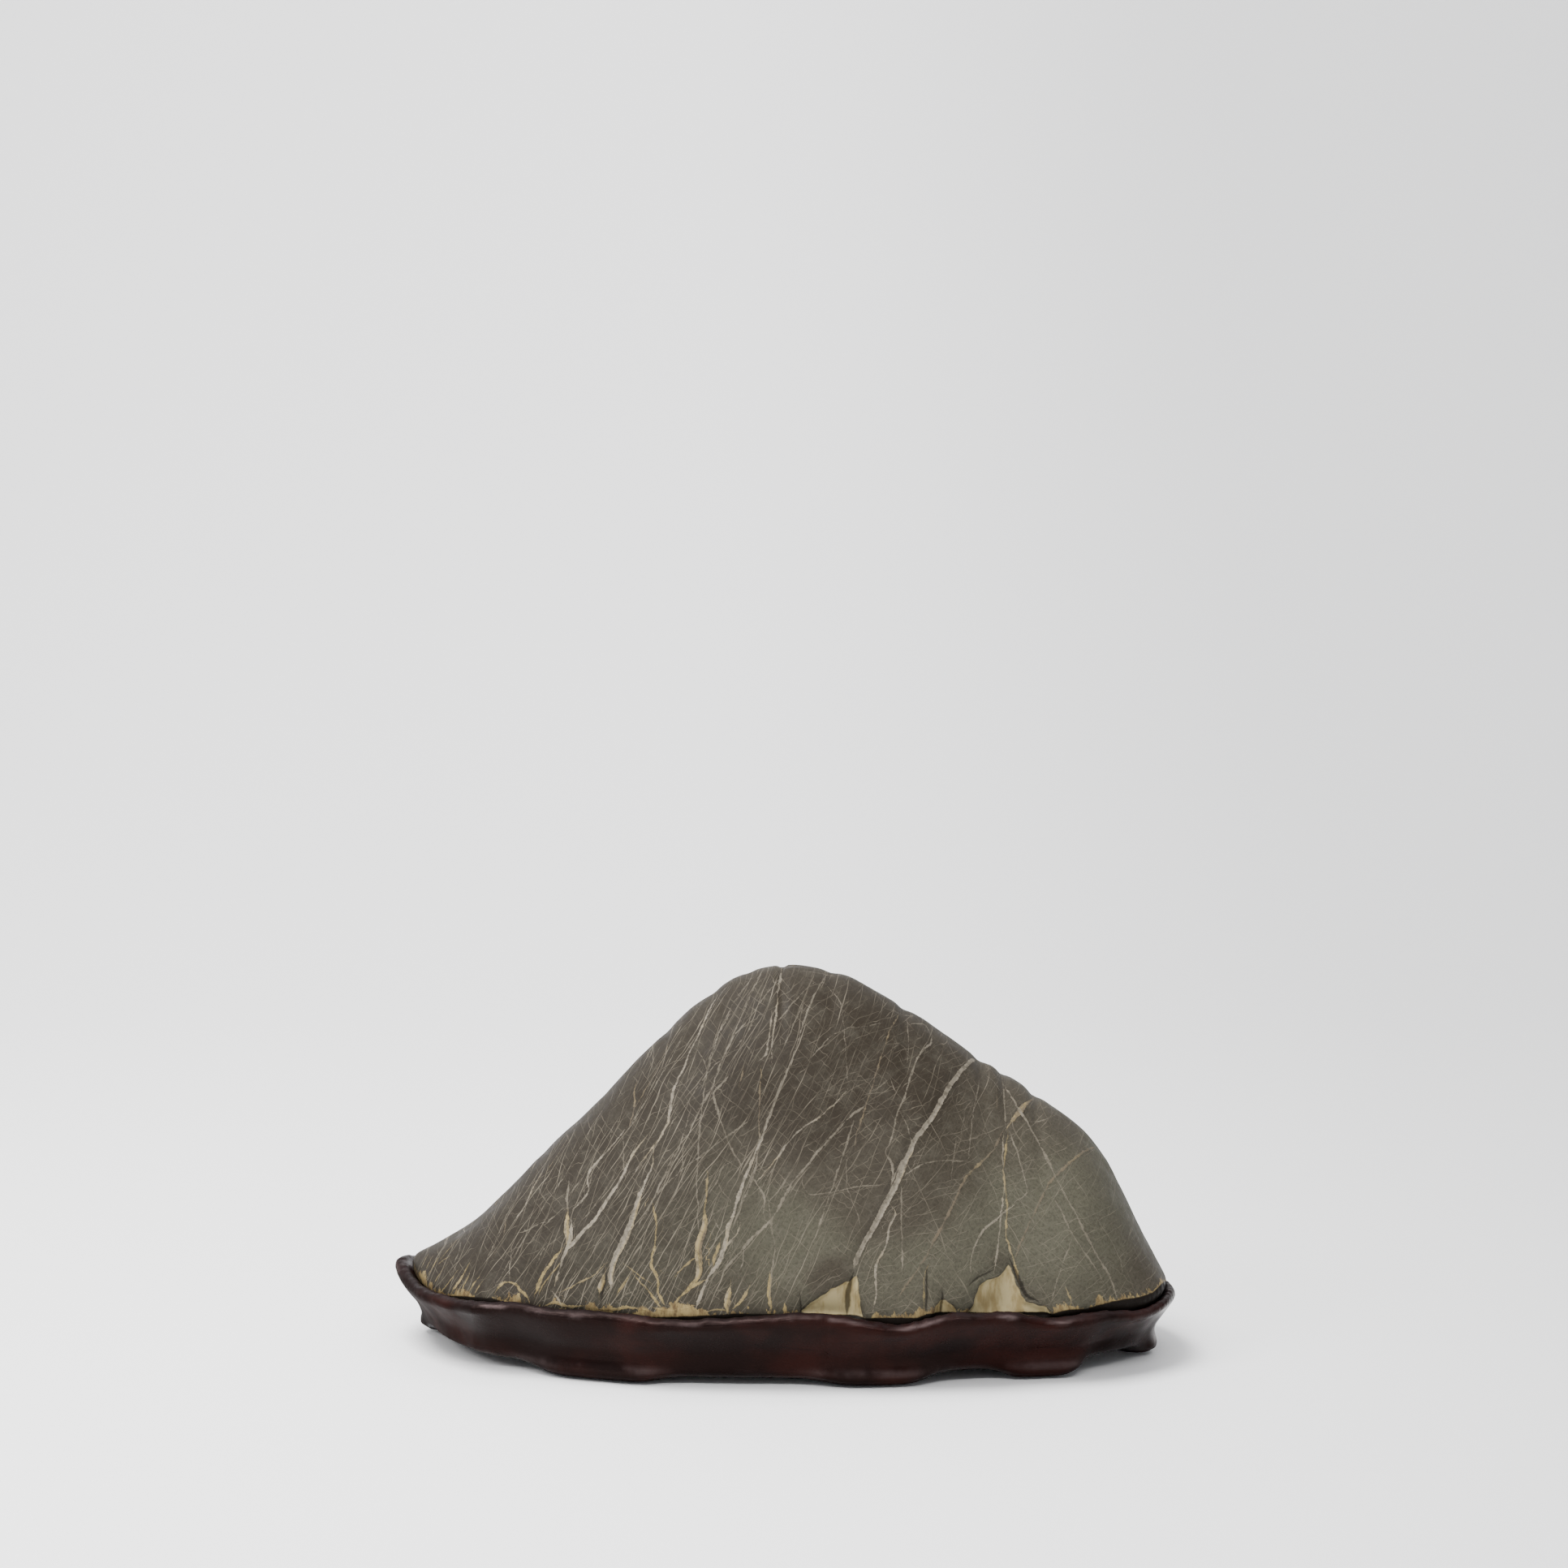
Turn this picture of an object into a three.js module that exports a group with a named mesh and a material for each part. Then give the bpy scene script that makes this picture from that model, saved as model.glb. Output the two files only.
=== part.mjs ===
// A scholar's rock: one mountain-shaped veined stone, seated in the shallow pocket of a
// low hardwood stand that is carved from a single board, with a wavy rim and eight toes.
//
// Millimetres, +Z up. The origin is on the table, under the middle of the stand.
// The front is -Y, the left tip is -X and the right tip is +X.

import * as THREE from 'three';

// Stand, driving dimensions
const POCKET_FLOOR = 12;          // top of the wood under the stone
const BOARD_BOTTOM = 4.4;         // underside of the board, inside the ring of toes
const RIM_THICKNESS = 5.6;
const RIGHT_RIM_THICKNESS = 3.8;  // the rim thins where the stone comes nearest to it
const RIM_RISE = 1.8;             // the rim's top climbs this much towards the stone
const WALL_THICKNESS = 5.4;       // at the foot of the pocket
const POCKET_CORNER = 1.2;        // height of the bevel round the pocket's floor
const WAIST_HEIGHT = 13;
const TOE_DEPTH = 15;             // front to back of a toe's flat sole
const TOE_SWELL = 2;              // how far a toe stands out from the foot of the wall
const FLUTE_DEPTH = 1.2;          // soft vertical hollows between the toes

// Stone, driving dimensions
const SEAT_GAP = 0.3;             // between the stone and the pocket floor
const SIDE_GAP = 1.6;             // between the stone and the pocket wall
const RIGHT_OVERHANG = 1.4;       // how far the stone's right end reaches over the rim
const PEAK = new THREE.Vector2(6, 2);

// Mesh steps
const STAND_STEPS = 100;
const STONE_STEPS = 108;
const STONE_RINGS = 22;

// The rim's outer edge, once round from the left tip, along the front, the right tip and the back.
const RIM_LINE = [
  [-158, 15, 31.6], [-156.4, 4, 30.2], [-152.4, -8, 28], [-145.4, -24, 27], [-133, -39.5, 27],
  [-120.5, -50.5, 27.6], [-107, -55, 28.8], [-89.6, -62.2, 27.8], [-73, -67.6, 28.2],
  [-60, -72, 28.2], [-44, -76.5, 26.9], [-20, -79, 28], [10, -80.3, 30.5], [26, -80.3, 29.3],
  [36, -80, 26.8], [47, -79.5, 25.2], [58, -78.5, 27.8], [69, -77.5, 30.5], [79, -75.5, 28.6],
  [87, -73, 29.6], [97, -70.5, 27.2], [108.1, -67.4, 24.5], [118.8, -66, 26.5], [126.4, -62.5, 26.4],
  [134.6, -57.5, 26], [141, -52.5, 24.6], [148.7, -45.3, 24.5], [155.3, -36, 26], [159.4, -20, 26.2],
  [160, -6, 25.3], [158, 8, 24.4], [150, 26, 25], [133, 44, 27.5], [106, 61, 27], [78, 72, 29.5],
  [46, 79, 27], [12, 81, 28.5], [-22, 80, 30], [-54, 76, 27.5], [-84, 68, 28.5], [-112, 59, 26.6],
  [-134, 49, 25.4], [-150, 35, 26.6],
];
// How far the wall leans in from the rim down to the waist, and how high its plain lower edge is
// above the table, both along the length: [x, value].
const LEAN_LINE = [[-158, 11.4], [-140, 10.5], [-120, 9.8], [-64, 9], [0, 10], [40, 11.3],
  [75, 12], [104, 13.3], [130, 11.8], [158, 10]];
const EDGE_LINE = [[-158, 5.4], [-140, 4.6], [-118, 4], [-96, 2.6], [-80, 2], [-40, 2.4],
  [20, 2.8], [62, 4.2], [78, 4.6], [96, 4.2], [125, 6.4], [158, 6]];

// Toes: where each is on the rim line, half the length of its sole, and the ramps before and after
// it, going round the same way as the rim line.
const TOES = [
  { near: [-156, 24], half: 6, before: 9, after: 7 },
  { near: [-68, -69], half: 17, before: 22, after: 9 },
  { near: [39, -80], half: 14, before: 14, after: 9 },
  { near: [109, -67], half: 14, before: 15, after: 6 },
  { near: [159, -14], half: 8, before: 13, after: 10 },
  { near: [100, 64], half: 14, before: 12, after: 12 },
  { near: [4, 81], half: 15, before: 12, after: 12 },
  { near: [-96, 64], half: 15, before: 12, after: 12 },
];

// The stone's skyline seen from the front: [x, height].
const SKYLINE = [
  [-153, 29], [-148, 35], [-139, 39.5], [-123, 49.2], [-106, 66], [-90, 83], [-73, 98.5],
  [-57, 116.2], [-40, 132.2], [-24, 145.6], [-8, 153.2], [8, 154.3], [25, 150.2], [41, 142.8],
  [57, 132], [74, 121], [80, 114.6], [84, 112.6], [90, 110.6], [99, 104.8], [107, 98.6],
  [115, 93.6], [123, 86.9], [131, 77.2], [139, 62], [143.2, 53.8], [147.8, 43.6],
  [151.4, 36], [154, 31.6], [156, 29],
];
// How far the stone's foot shows above the rim's outer edge along the front: [x, height].
const FOOT_LINE = [[-152, 0], [-92, 0], [-78, 2.2], [-42, 2.2], [-28, 0], [30, 0], [39, 2.2], [52, 2],
  [60, 0.2], [95, 0.2], [103, 2.6], [113, 2.4], [119, 1], [127, 2.6], [157, 3.6]];
const BACK_FOOT = -0.6;

// Broad swellings and hollows of the stone's face: centre [x, height], radii, how far out (+) or in (-).
const FRONT_FORMS = [
  { at: [14, 104], size: [26, 24], out: -2.6 },
  { at: [-46, 92], size: [22, 46], out: 1.8 },
  { at: [52, 78], size: [16, 44], out: 1.6 },
  { at: [92, 84], size: [18, 34], out: -1.5 },
  { at: [-96, 52], size: [24, 16], out: 1.4 },
  { at: [118, 58], size: [16, 26], out: 1.5 },
];
// Broken-out places along the foot of the face, where the pale inside of the stone shows.
const FRONT_BREAKS = [
  { at: [20, 29], size: [9, 7], out: -3.4 },
  { at: [28, 31], size: [3.2, 9], out: -4.4 },
  { at: [12, 41], size: [10, 5], out: 1.2 },
  { at: [87, 31], size: [10.5, 9], out: -4.2 },
  { at: [76, 43], size: [6, 4.5], out: 1.6 },
  { at: [66, 29], size: [3, 6], out: -2.6 },
  { at: [-99, 34], size: [7, 6], out: -1.8 },
  { at: [-54, 33], size: [12, 4], out: -1.2 },
];
const BACK_FORMS = [
  { at: [-30, 96], size: [30, 34], out: 2.4 },
  { at: [40, 70], size: [20, 40], out: -2.4 },
  { at: [88, 60], size: [20, 26], out: 2 },
  { at: [-92, 56], size: [22, 20], out: -2 },
  { at: [4, 40], size: [16, 14], out: -2.2 },
];

const smooth = (t) => {
  const c = Math.min(1, Math.max(0, t));
  return c * c * (3 - 2 * c);
};
const mix = THREE.MathUtils.lerp;

// Reads a height off a list of [x, height] points, on a smooth curve through them.
function curveThrough(points) {
  const line = new THREE.SplineCurve(points.map(([x, z]) => new THREE.Vector2(x, z)));
  const samples = line.getPoints(points.length * 16);
  return (x) => {
    if (x <= samples[0].x) return samples[0].y;
    for (let i = 1; i < samples.length; i += 1) {
      const [a, b] = [samples[i - 1], samples[i]];
      if (x <= b.x) return mix(a.y, b.y, (x - a.x) / Math.max(1e-6, b.x - a.x));
    }
    return samples[samples.length - 1].y;
  };
}

const rimCurve = new THREE.CatmullRomCurve3(
  RIM_LINE.map(([x, y, z]) => new THREE.Vector3(x, y, z)), true, 'centripetal');
rimCurve.arcLengthDivisions = 1200;
const RIM_LENGTH = rimCurve.getLength();
const leanAt = curveThrough(LEAN_LINE);
const edgeAt = curveThrough(EDGE_LINE);
const footAt = curveThrough(FOOT_LINE);
const skyline = curveThrough(SKYLINE);

// Share of the way round the rim that is nearest to a plan point.
function placeOnRim([x, y]) {
  const tries = 2400;
  let best = 0;
  let least = Infinity;
  for (let i = 0; i < tries; i += 1) {
    const p = rimCurve.getPointAt(i / tries);
    const d = Math.hypot(p.x - x, p.y - y);
    if (d < least) [least, best] = [d, i / tries];
  }
  return best;
}
const toes = TOES.map((toe) => ({ ...toe, place: placeOnRim(toe.near) }));

// 1 on a toe's sole, 0 on the plain wall, with a smooth ramp between.
function toeShare(share) {
  let most = 0;
  for (const toe of toes) {
    const ahead = ((share - toe.place + 1.5) % 1) - 0.5;
    const ramp = ahead < 0 ? toe.before : toe.after;
    most = Math.max(most, smooth(1 - (Math.abs(ahead) * RIM_LENGTH - toe.half) / ramp));
  }
  return most;
}

// Plan direction from a rim point in towards the stand's middle line.
const MIDDLE_LINE = { left: -84, right: 86, leftY: 6, rightY: -6 };
function inwards(p) {
  const x = Math.min(MIDDLE_LINE.right, Math.max(MIDDLE_LINE.left, p.x));
  const t = (x - MIDDLE_LINE.left) / (MIDDLE_LINE.right - MIDDLE_LINE.left);
  const y = mix(MIDDLE_LINE.leftY, MIDDLE_LINE.rightY, t);
  return new THREE.Vector2(x - p.x, y - p.y).normalize();
}

// What the wood does at one place round the rim: how far its wall leans in and how thick its
// rim is, and ways to set a point in from the rim's edge at a height.
function woodAt(share) {
  const rim = rimCurve.getPointAt(share);
  const into = inwards(rim);
  const lean = leanAt(rim.x);
  const right = smooth((rim.x - 126) / 28);
  const thick = mix(RIM_THICKNESS, RIGHT_RIM_THICKNESS, right);
  const at = (inset, z) => new THREE.Vector3(rim.x + into.x * inset, rim.y + into.y * inset, z);
  const foot = POCKET_FLOOR + POCKET_CORNER;
  const lip = rim.z + RIM_RISE - 1;
  const pocketInset = (z) => mix(
    lean + WALL_THICKNESS, thick, Math.min(1, Math.max(0, (z - foot) / (lip - foot))));
  return { rim, lean, thick, right, at, pocketInset };
}

// The stand is a ring of profiles: each profile runs from the middle of the underside, over a
// toe or the plain lower edge, up the wall, over the rim and down to the middle of the pocket.
function standProfile(share) {
  const { rim, lean, thick, at, pocketInset } = woodAt(share);
  const toe = toeShare(share);
  const flute = FLUTE_DEPTH * (1 - toe);
  const edge = edgeAt(rim.x);
  const top = rim.z;
  const wall = (plainInset, plainZ, toeInset, toeZ) => at(
    mix(plainInset, toeInset, toe) + flute, mix(plainZ, toeZ, toe));
  const sole = lean - 0.2;
  const swell = lean - TOE_SWELL;
  return [
    at(58, BOARD_BOTTOM),
    wall(sole + TOE_DEPTH + 6, BOARD_BOTTOM, sole + TOE_DEPTH + 4, BOARD_BOTTOM),
    wall(sole + TOE_DEPTH, edge + 0.6, sole + TOE_DEPTH, 0),
    wall(lean + 5, edge, sole + 1.2, 0),
    wall(lean + 2.6, edge + 0.5, sole - 0.2, 0.8),
    wall(lean + 1.3, edge + 2.2, swell, 2.4),
    wall(lean + 0.5, edge + 4.4, swell, 4.6),
    wall(lean, WAIST_HEIGHT, lean - 0.2, 8),
    wall(lean * 0.66, 17.5, lean * 0.8, 13),
    wall(lean * 0.3, 22, lean * 0.42, 19.5),
    at(0.5 + flute * 0.6, top - 2),
    at(0.7, top - 0.4),
    at(thick * 0.5, top + RIM_RISE * 0.6),
    at(thick - 0.6, top + RIM_RISE),
    at(thick, top + RIM_RISE - 1),
    at(lean + WALL_THICKNESS, POCKET_FLOOR + POCKET_CORNER),
    at(lean + WALL_THICKNESS + 1, POCKET_FLOOR),
    at(58, POCKET_FLOOR),
  ];
}

// Joins a list of closed rings, each with the same number of points, into one closed body that
// starts and ends on a single middle point.
function bodyFromRings(first, rings, last) {
  const steps = rings[0].length;
  const positions = [first, ...rings.flat(), last].flatMap((p) => [p.x, p.y, p.z]);
  const index = [];
  const at = (ring, step) => 1 + ring * steps + (step % steps);
  for (let s = 0; s < steps; s += 1) {
    index.push(0, at(0, s + 1), at(0, s));
    index.push(1 + rings.length * steps, at(rings.length - 1, s), at(rings.length - 1, s + 1));
    for (let r = 1; r < rings.length; r += 1) {
      index.push(at(r - 1, s), at(r - 1, s + 1), at(r, s + 1));
      index.push(at(r - 1, s), at(r, s + 1), at(r, s));
    }
  }
  const geometry = new THREE.BufferGeometry();
  geometry.setAttribute('position', new THREE.Float32BufferAttribute(positions, 3));
  geometry.setIndex(index);
  geometry.computeVertexNormals();
  return geometry;
}

function standGeometry() {
  const profiles = [];
  for (let i = 0; i < STAND_STEPS; i += 1) profiles.push(standProfile(i / STAND_STEPS));
  const rings = profiles[0].map((_, r) => profiles.map((profile) => profile[r]));
  return bodyFromRings(
    new THREE.Vector3(0, 0, BOARD_BOTTOM), rings, new THREE.Vector3(0, 0, POCKET_FLOOR));
}

// The stone's widest line in plan: just inside the rim with a slight wander of its own, and out
// over the rim at the right end.
function stoneLine(share) {
  const { rim, right, at, pocketInset } = woodAt(share);
  const turn = share * Math.PI * 2;
  const wander = 0.3 * Math.sin(turn * 9 + 1) + 0.3 * Math.sin(turn * 17);
  const front = smooth((20 - rim.y) / 24);
  const z = rim.z + mix(BACK_FOOT, footAt(rim.x), front);
  return at(pocketInset(z) + SIDE_GAP + wander * (1 - right) - RIGHT_OVERHANG * right * front, z);
}

// Half depth of the stone at x, towards the front or the back.
const LINE_SAMPLES = 720;
const stoneOutline = Array.from({ length: LINE_SAMPLES }, (_, i) => stoneLine(i / LINE_SAMPLES));
const STONE_LEFT = Math.min(...stoneOutline.map((p) => p.x));
const STONE_RIGHT = Math.max(...stoneOutline.map((p) => p.x));
const crestY = (x) => PEAK.y + 3.5 * Math.sin(x / 52);
function halfDepth(x, front) {
  let found = 0;
  for (let i = 0; i < LINE_SAMPLES; i += 1) {
    const [a, b] = [stoneOutline[i], stoneOutline[(i + 1) % LINE_SAMPLES]];
    if ((a.x - x) * (b.x - x) > 0 || a.x === b.x) continue;
    const y = mix(a.y, b.y, (x - a.x) / (b.x - a.x));
    const away = front ? crestY(x) - y : y - crestY(x);
    found = Math.max(found, away);
  }
  return found;
}

// The skyline without its small kinks, for the faces below the crest.
const SOFTEN = 10;
function softSkyline(x) {
  const reach = Math.max(0, Math.min(SOFTEN, STONE_RIGHT - x, x - STONE_LEFT));
  return (skyline(x - reach) + skyline(x - reach / 2) + skyline(x) + skyline(x + reach / 2)
    + skyline(x + reach)) / 5;
}

function formsAt(forms, x, z) {
  return forms.reduce((sum, form) => {
    const dx = (x - form.at[0]) / form.size[0];
    const dz = (z - form.at[1]) / form.size[1];
    return sum + form.out * Math.exp(-(dx * dx + dz * dz));
  }, 0);
}

// The dome above the widest line: a rounded arch across the stone at every x.
function stonePoint(share, out) {
  const edge = stoneLine(share);
  const x = mix(PEAK.x, edge.x, out);
  const y = mix(PEAK.y, edge.y, out);
  const front = y < crestY(x);
  const across = Math.min(1, Math.abs(y - crestY(x)) / Math.max(1e-3, halfDepth(x, front)));
  const arch = Math.pow(Math.max(0, 1 - Math.pow(across, 2)), 0.84);
  const ridge = Math.max(mix(skyline(x), softSkyline(x), smooth(across / 0.4)), edge.z);
  const z = mix(edge.z, ridge, out > 0.9999 ? 0 : arch);
  const lumps = formsAt(front ? FRONT_FORMS : BACK_FORMS, x, z);
  const breaks = front ? formsAt(FRONT_BREAKS, x, z) : 0;
  const ripple = 0.45 * Math.sin(x * 0.11 + z * 0.05) * Math.sin(z * 0.13 - x * 0.03);
  const push = (lumps + ripple) * smooth((across - 0.05) / 0.4) + breaks * smooth((across - 0.5) / 0.3);
  const bearing = new THREE.Vector2(edge.x - PEAK.x, edge.y - PEAK.y).normalize();
  const outward = new THREE.Vector2(bearing.x * 0.3, bearing.y).normalize();
  return new THREE.Vector3(x + outward.x * push, y + outward.y * push, z);
}

// More steps along the front, where the stone has its breaks and folds.
const FRONT_WEIGHT = 0.28;
function stoneShares() {
  const middle = placeOnRim([10, -80]);
  return Array.from({ length: STONE_STEPS }, (_, i) => {
    const t = i / STONE_STEPS;
    const turn = (t - middle) * Math.PI * 2;
    return (t - FRONT_WEIGHT * Math.sin(turn) / (Math.PI * 2) + 1) % 1;
  });
}

function stoneGeometry() {
  const shares = stoneShares();
  const seat = POCKET_FLOOR + SEAT_GAP;
  // The hidden foot of the stone: [share of the way up to the widest line, further in].
  const hidden = [[0, 22], [0, 2.4], [0.08, 0.8], [0.45, 0]];
  const rings = hidden.map(([up, further]) => shares.map((share) => {
    const { at, pocketInset } = woodAt(share);
    const z = mix(seat, stoneLine(share).z, up);
    return at(pocketInset(z) + SIDE_GAP + further, z);
  }));
  rings.push(shares.map((share) => {
    const { at, pocketInset } = woodAt(share);
    const z = stoneLine(share).z - 1.8;
    return at(pocketInset(z) + SIDE_GAP, z);
  }));
  for (let r = 0; r < STONE_RINGS; r += 1) {
    const out = Math.sin((1 - r / STONE_RINGS) * Math.PI / 2);
    rings.push(shares.map((share) => stonePoint(share, out)));
  }
  const top = new THREE.Vector3(PEAK.x, PEAK.y, skyline(PEAK.x));
  return bodyFromRings(new THREE.Vector3(PEAK.x, PEAK.y, seat), rings, top);
}

// Both bodies are set so that the stand's plan box is centred on the origin.
const standBody = standGeometry();
const stoneBody = stoneGeometry();
standBody.computeBoundingBox();
const middle = standBody.boundingBox.getCenter(new THREE.Vector3());
standBody.translate(-middle.x, -middle.y, 0);
stoneBody.translate(-middle.x, -middle.y, 0);

const stone = new THREE.Mesh(
  stoneBody, new THREE.MeshStandardMaterial({ color: 0x6c665b, roughness: 0.72, metalness: 0 }));
stone.name = 'stone';

const stand = new THREE.Mesh(
  standBody, new THREE.MeshStandardMaterial({ color: 0x2a1715, roughness: 0.32, metalness: 0 }));
stand.name = 'stand';

const group = new THREE.Group();
group.add(stand, stone);

export default group;
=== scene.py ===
import math
import random

import bpy
import numpy as np
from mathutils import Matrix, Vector, noise
from mathutils.bvhtree import BVHTree


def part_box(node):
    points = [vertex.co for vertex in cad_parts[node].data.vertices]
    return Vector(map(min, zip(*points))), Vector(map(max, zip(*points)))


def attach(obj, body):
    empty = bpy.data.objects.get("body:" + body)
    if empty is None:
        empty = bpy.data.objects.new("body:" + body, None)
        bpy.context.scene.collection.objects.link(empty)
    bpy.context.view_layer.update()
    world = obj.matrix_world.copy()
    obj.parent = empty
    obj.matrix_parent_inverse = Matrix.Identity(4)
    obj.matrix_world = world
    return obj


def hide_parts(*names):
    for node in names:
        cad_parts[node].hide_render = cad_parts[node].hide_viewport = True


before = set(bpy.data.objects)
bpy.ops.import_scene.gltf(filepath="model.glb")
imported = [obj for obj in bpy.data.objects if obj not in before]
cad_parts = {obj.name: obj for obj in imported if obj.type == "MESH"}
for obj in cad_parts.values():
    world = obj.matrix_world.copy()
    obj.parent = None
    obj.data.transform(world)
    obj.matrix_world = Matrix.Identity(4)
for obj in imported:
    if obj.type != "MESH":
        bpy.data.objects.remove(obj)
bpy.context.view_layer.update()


# Camera: a metre and a half in front of the rock and somewhat above it, looking slightly down.
# Its place is also the eye from which the stone's veins were drawn.
MM = 0.001
EYE = Vector((1.05, -1471.87, 383)) * MM
LOOK_DOWN = math.radians(6)
LENS = 85
SENSOR = 36

bpy.ops.object.camera_add(location=EYE, rotation=(math.pi / 2 - LOOK_DOWN, 0, 0))
camera = bpy.context.object
camera.name = "camera"
camera.data.lens = LENS
camera.data.sensor_width = SENSOR
bpy.context.scene.camera = camera


# Stand: a shallow tray with a wavy rim, leaning walls and eight rounded toes, cut from one block
# of dark red hardwood. The walls are polished and lacquered, the rim's top is left off the knife.
STAND_STEP = 1.2
STAND_GROWTH = 0.25
STAND_EDGE_WAVE = 0.25
STAND_HAND_MARKS = 0.1
WALL_MIDDLE = 13
RIM_RISES = (15, 19)
RIM_BITE = 0.45
RIM_EDGE_DEPTHS = (3.2, 1.6)
TOE_ROLL = 0.9
TOE_BELLY, BELLY_HALF = 4.5, 3.6
TOE_WAIST, WAIST_HALF = 12, 4
TOE_SHINE, SHINE_HALF = 6.2, 1.5
SOLE_KEPT = (0.3, 2)
BINS = 120
# Lengths of the rim's front edge that get a painted highlight, in mm across.
RIM_GLINTS = [(-50, -31), (-5, 15), (18, 36), (41, 62), (84, 91), (103, 116), (-118, -108),
              (-82, -76), (-100, -94)]
# Upright folds and creases left by the gouge in the front wall: (mm across, half width, rise).
WALL_FOLDS = [(-121, 8, 1.1), (-133, 6, .6), (17, 2.2, -.9), (-8, 9, .5), (30, 10, .5),
              (74, 12, .6), (-50, 14, .4)]


def pick_only(obj):
    bpy.ops.object.select_all(action="DESELECT")
    obj.select_set(True)
    bpy.context.view_layer.objects.active = obj


def solid_from(node, name):
    """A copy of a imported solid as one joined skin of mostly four-sided faces."""
    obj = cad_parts[node].copy()
    obj.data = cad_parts[node].data.copy()
    obj.name = obj.data.name = name
    for key in list(obj.keys()):
        del obj[key]
    obj.parent = None
    bpy.context.scene.collection.objects.link(obj)
    pick_only(obj)
    bpy.ops.object.mode_set(mode="EDIT")
    bpy.ops.mesh.select_all(action="SELECT")
    bpy.ops.mesh.remove_doubles(threshold=0.01 * MM)
    bpy.ops.mesh.tris_convert_to_quads(face_threshold=math.radians(60),
                                       shape_threshold=math.radians(80))
    bpy.ops.mesh.select_all(action="DESELECT")
    bpy.ops.object.mode_set(mode="OBJECT")
    return obj


def apply_modifier(obj, kind, **settings):
    modifier = obj.modifiers.new(kind.lower(), kind)
    for key, value in settings.items():
        setattr(modifier, key, value)
    pick_only(obj)
    bpy.ops.object.modifier_apply(modifier=modifier.name)


def points_of(mesh):
    flat = np.zeros(len(mesh.vertices) * 3, np.float32)
    mesh.vertices.foreach_get("co", flat)
    return flat.reshape(-1, 3).astype(float)


def normals_of(mesh):
    flat = np.zeros(len(mesh.vertices) * 3, np.float32)
    mesh.vertices.foreach_get("normal", flat)
    return flat.reshape(-1, 3).astype(float)


def set_points(mesh, points):
    mesh.vertices.foreach_set("co", points.astype(np.float32).ravel())
    mesh.update()


def waves(points, size, seed):
    """Smooth noise from -1 to 1 at each point in mm, its lumps about size mm across."""
    shift = Vector((seed * 17.3, seed * 5.1, seed * 11.7))
    return np.array([noise.noise(Vector(point) / size + shift) for point in points])


def smooth_step(low, high, value):
    share = np.clip((value - low) / (high - low), 0, 1)
    return share * share * (3 - 2 * share)


def hump(value, middle, half_width):
    """A round hill: 1 at its middle, falling away on both sides."""
    return np.exp(-((value - middle) / half_width) ** 2)


def paint(mesh, name, values):
    mesh.attributes.new(name, "FLOAT", "POINT").data.foreach_set("value", values.astype(np.float32))


stand = solid_from("stand", "carved_stand")
apply_modifier(stand, "SUBSURF", levels=1, render_levels=1)
apply_modifier(stand, "REMESH", mode="VOXEL", voxel_size=STAND_STEP * MM)
apply_modifier(stand, "SMOOTH", factor=0.5, iterations=8)

# The toes and the wall's lower edge were rubbed rounder than the rim.
low_part = stand.vertex_groups.new(name="low_part")
heights = points_of(stand.data)[:, 2] / MM
low_part.add(np.nonzero(heights < WALL_MIDDLE)[0].tolist(), 1.0, "REPLACE")
apply_modifier(stand, "SMOOTH", factor=0.5, iterations=45, vertex_group="low_part")
stand.vertex_groups.clear()
stand_points = points_of(stand.data) / MM
stand_normals = normals_of(stand.data)
stand_low, stand_high = (np.array(corner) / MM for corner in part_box("stand"))


def way_round(points):
    """Where each point lies round the stand, from 0 to 1."""
    angle = np.arctan2(points[:, 1] / stand_high[1], points[:, 0] / stand_high[0])
    return (angle / math.tau + 0.5) % 1


def by_bin(points, values, pick):
    """The lowest or highest value found in each of the bins round the stand."""
    number = (way_round(points) * BINS).astype(int) % BINS
    return np.array([pick(values[number == index]) for index in range(BINS)])


BIN_MIDDLES = (np.arange(BINS) + 0.5) / BINS


def beside(points, binned):
    """What was found in the bins round the stand, read at each point."""
    return np.interp(way_round(points), BIN_MIDDLES, binned, period=1)


rim_height = by_bin(stand_points, stand_points[:, 2], np.max)
outer = np.hypot(stand_points[:, 0] / stand_high[0], stand_points[:, 1] / stand_high[1]) > 0.74
low_edge = by_bin(stand_points[outer], stand_points[outer, 2], np.min)
toe_share = smooth_step(3.5, 0.8, beside(stand_points, low_edge))
across, height = stand_points[:, 0], stand_points[:, 2]
upward = stand_normals[:, 2]
steep = smooth_step(0.75, 0.4, np.abs(upward))
plan = stand_points[:, :2]
outward = smooth_step(-0.1, 0.3, (stand_normals[:, :2] * plan).sum(1) / np.hypot(*plan.T))
wall = steep * outward
in_front = stand_points[:, 1] < 0
rim_top = smooth_step(0.5, 0.85, upward) * smooth_step(*RIM_RISES, height)
moves = STAND_GROWTH + STAND_HAND_MARKS * waves(stand_points, 9, 3)
moves += STAND_EDGE_WAVE * waves(stand_points, 28, 4)
moves += rim_top * RIM_BITE * waves(stand_points, 3.2, 5)
roll = hump(height, TOE_BELLY, BELLY_HALF) - 0.5 * hump(height, TOE_WAIST, WAIST_HALF)
moves += toe_share * wall * TOE_ROLL * roll
for middle, half_width, rise in WALL_FOLDS:
    fold = np.clip(1 - np.abs(across - middle) / half_width, 0, 1)
    moves += wall * in_front * rise * fold * smooth_step(4, 9, height)
stand_points += stand_normals * (moves * smooth_step(*SOLE_KEPT, height))[:, None]
stand_points = np.clip(stand_points, stand_low, stand_high)
set_points(stand.data, stand_points * MM)
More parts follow.
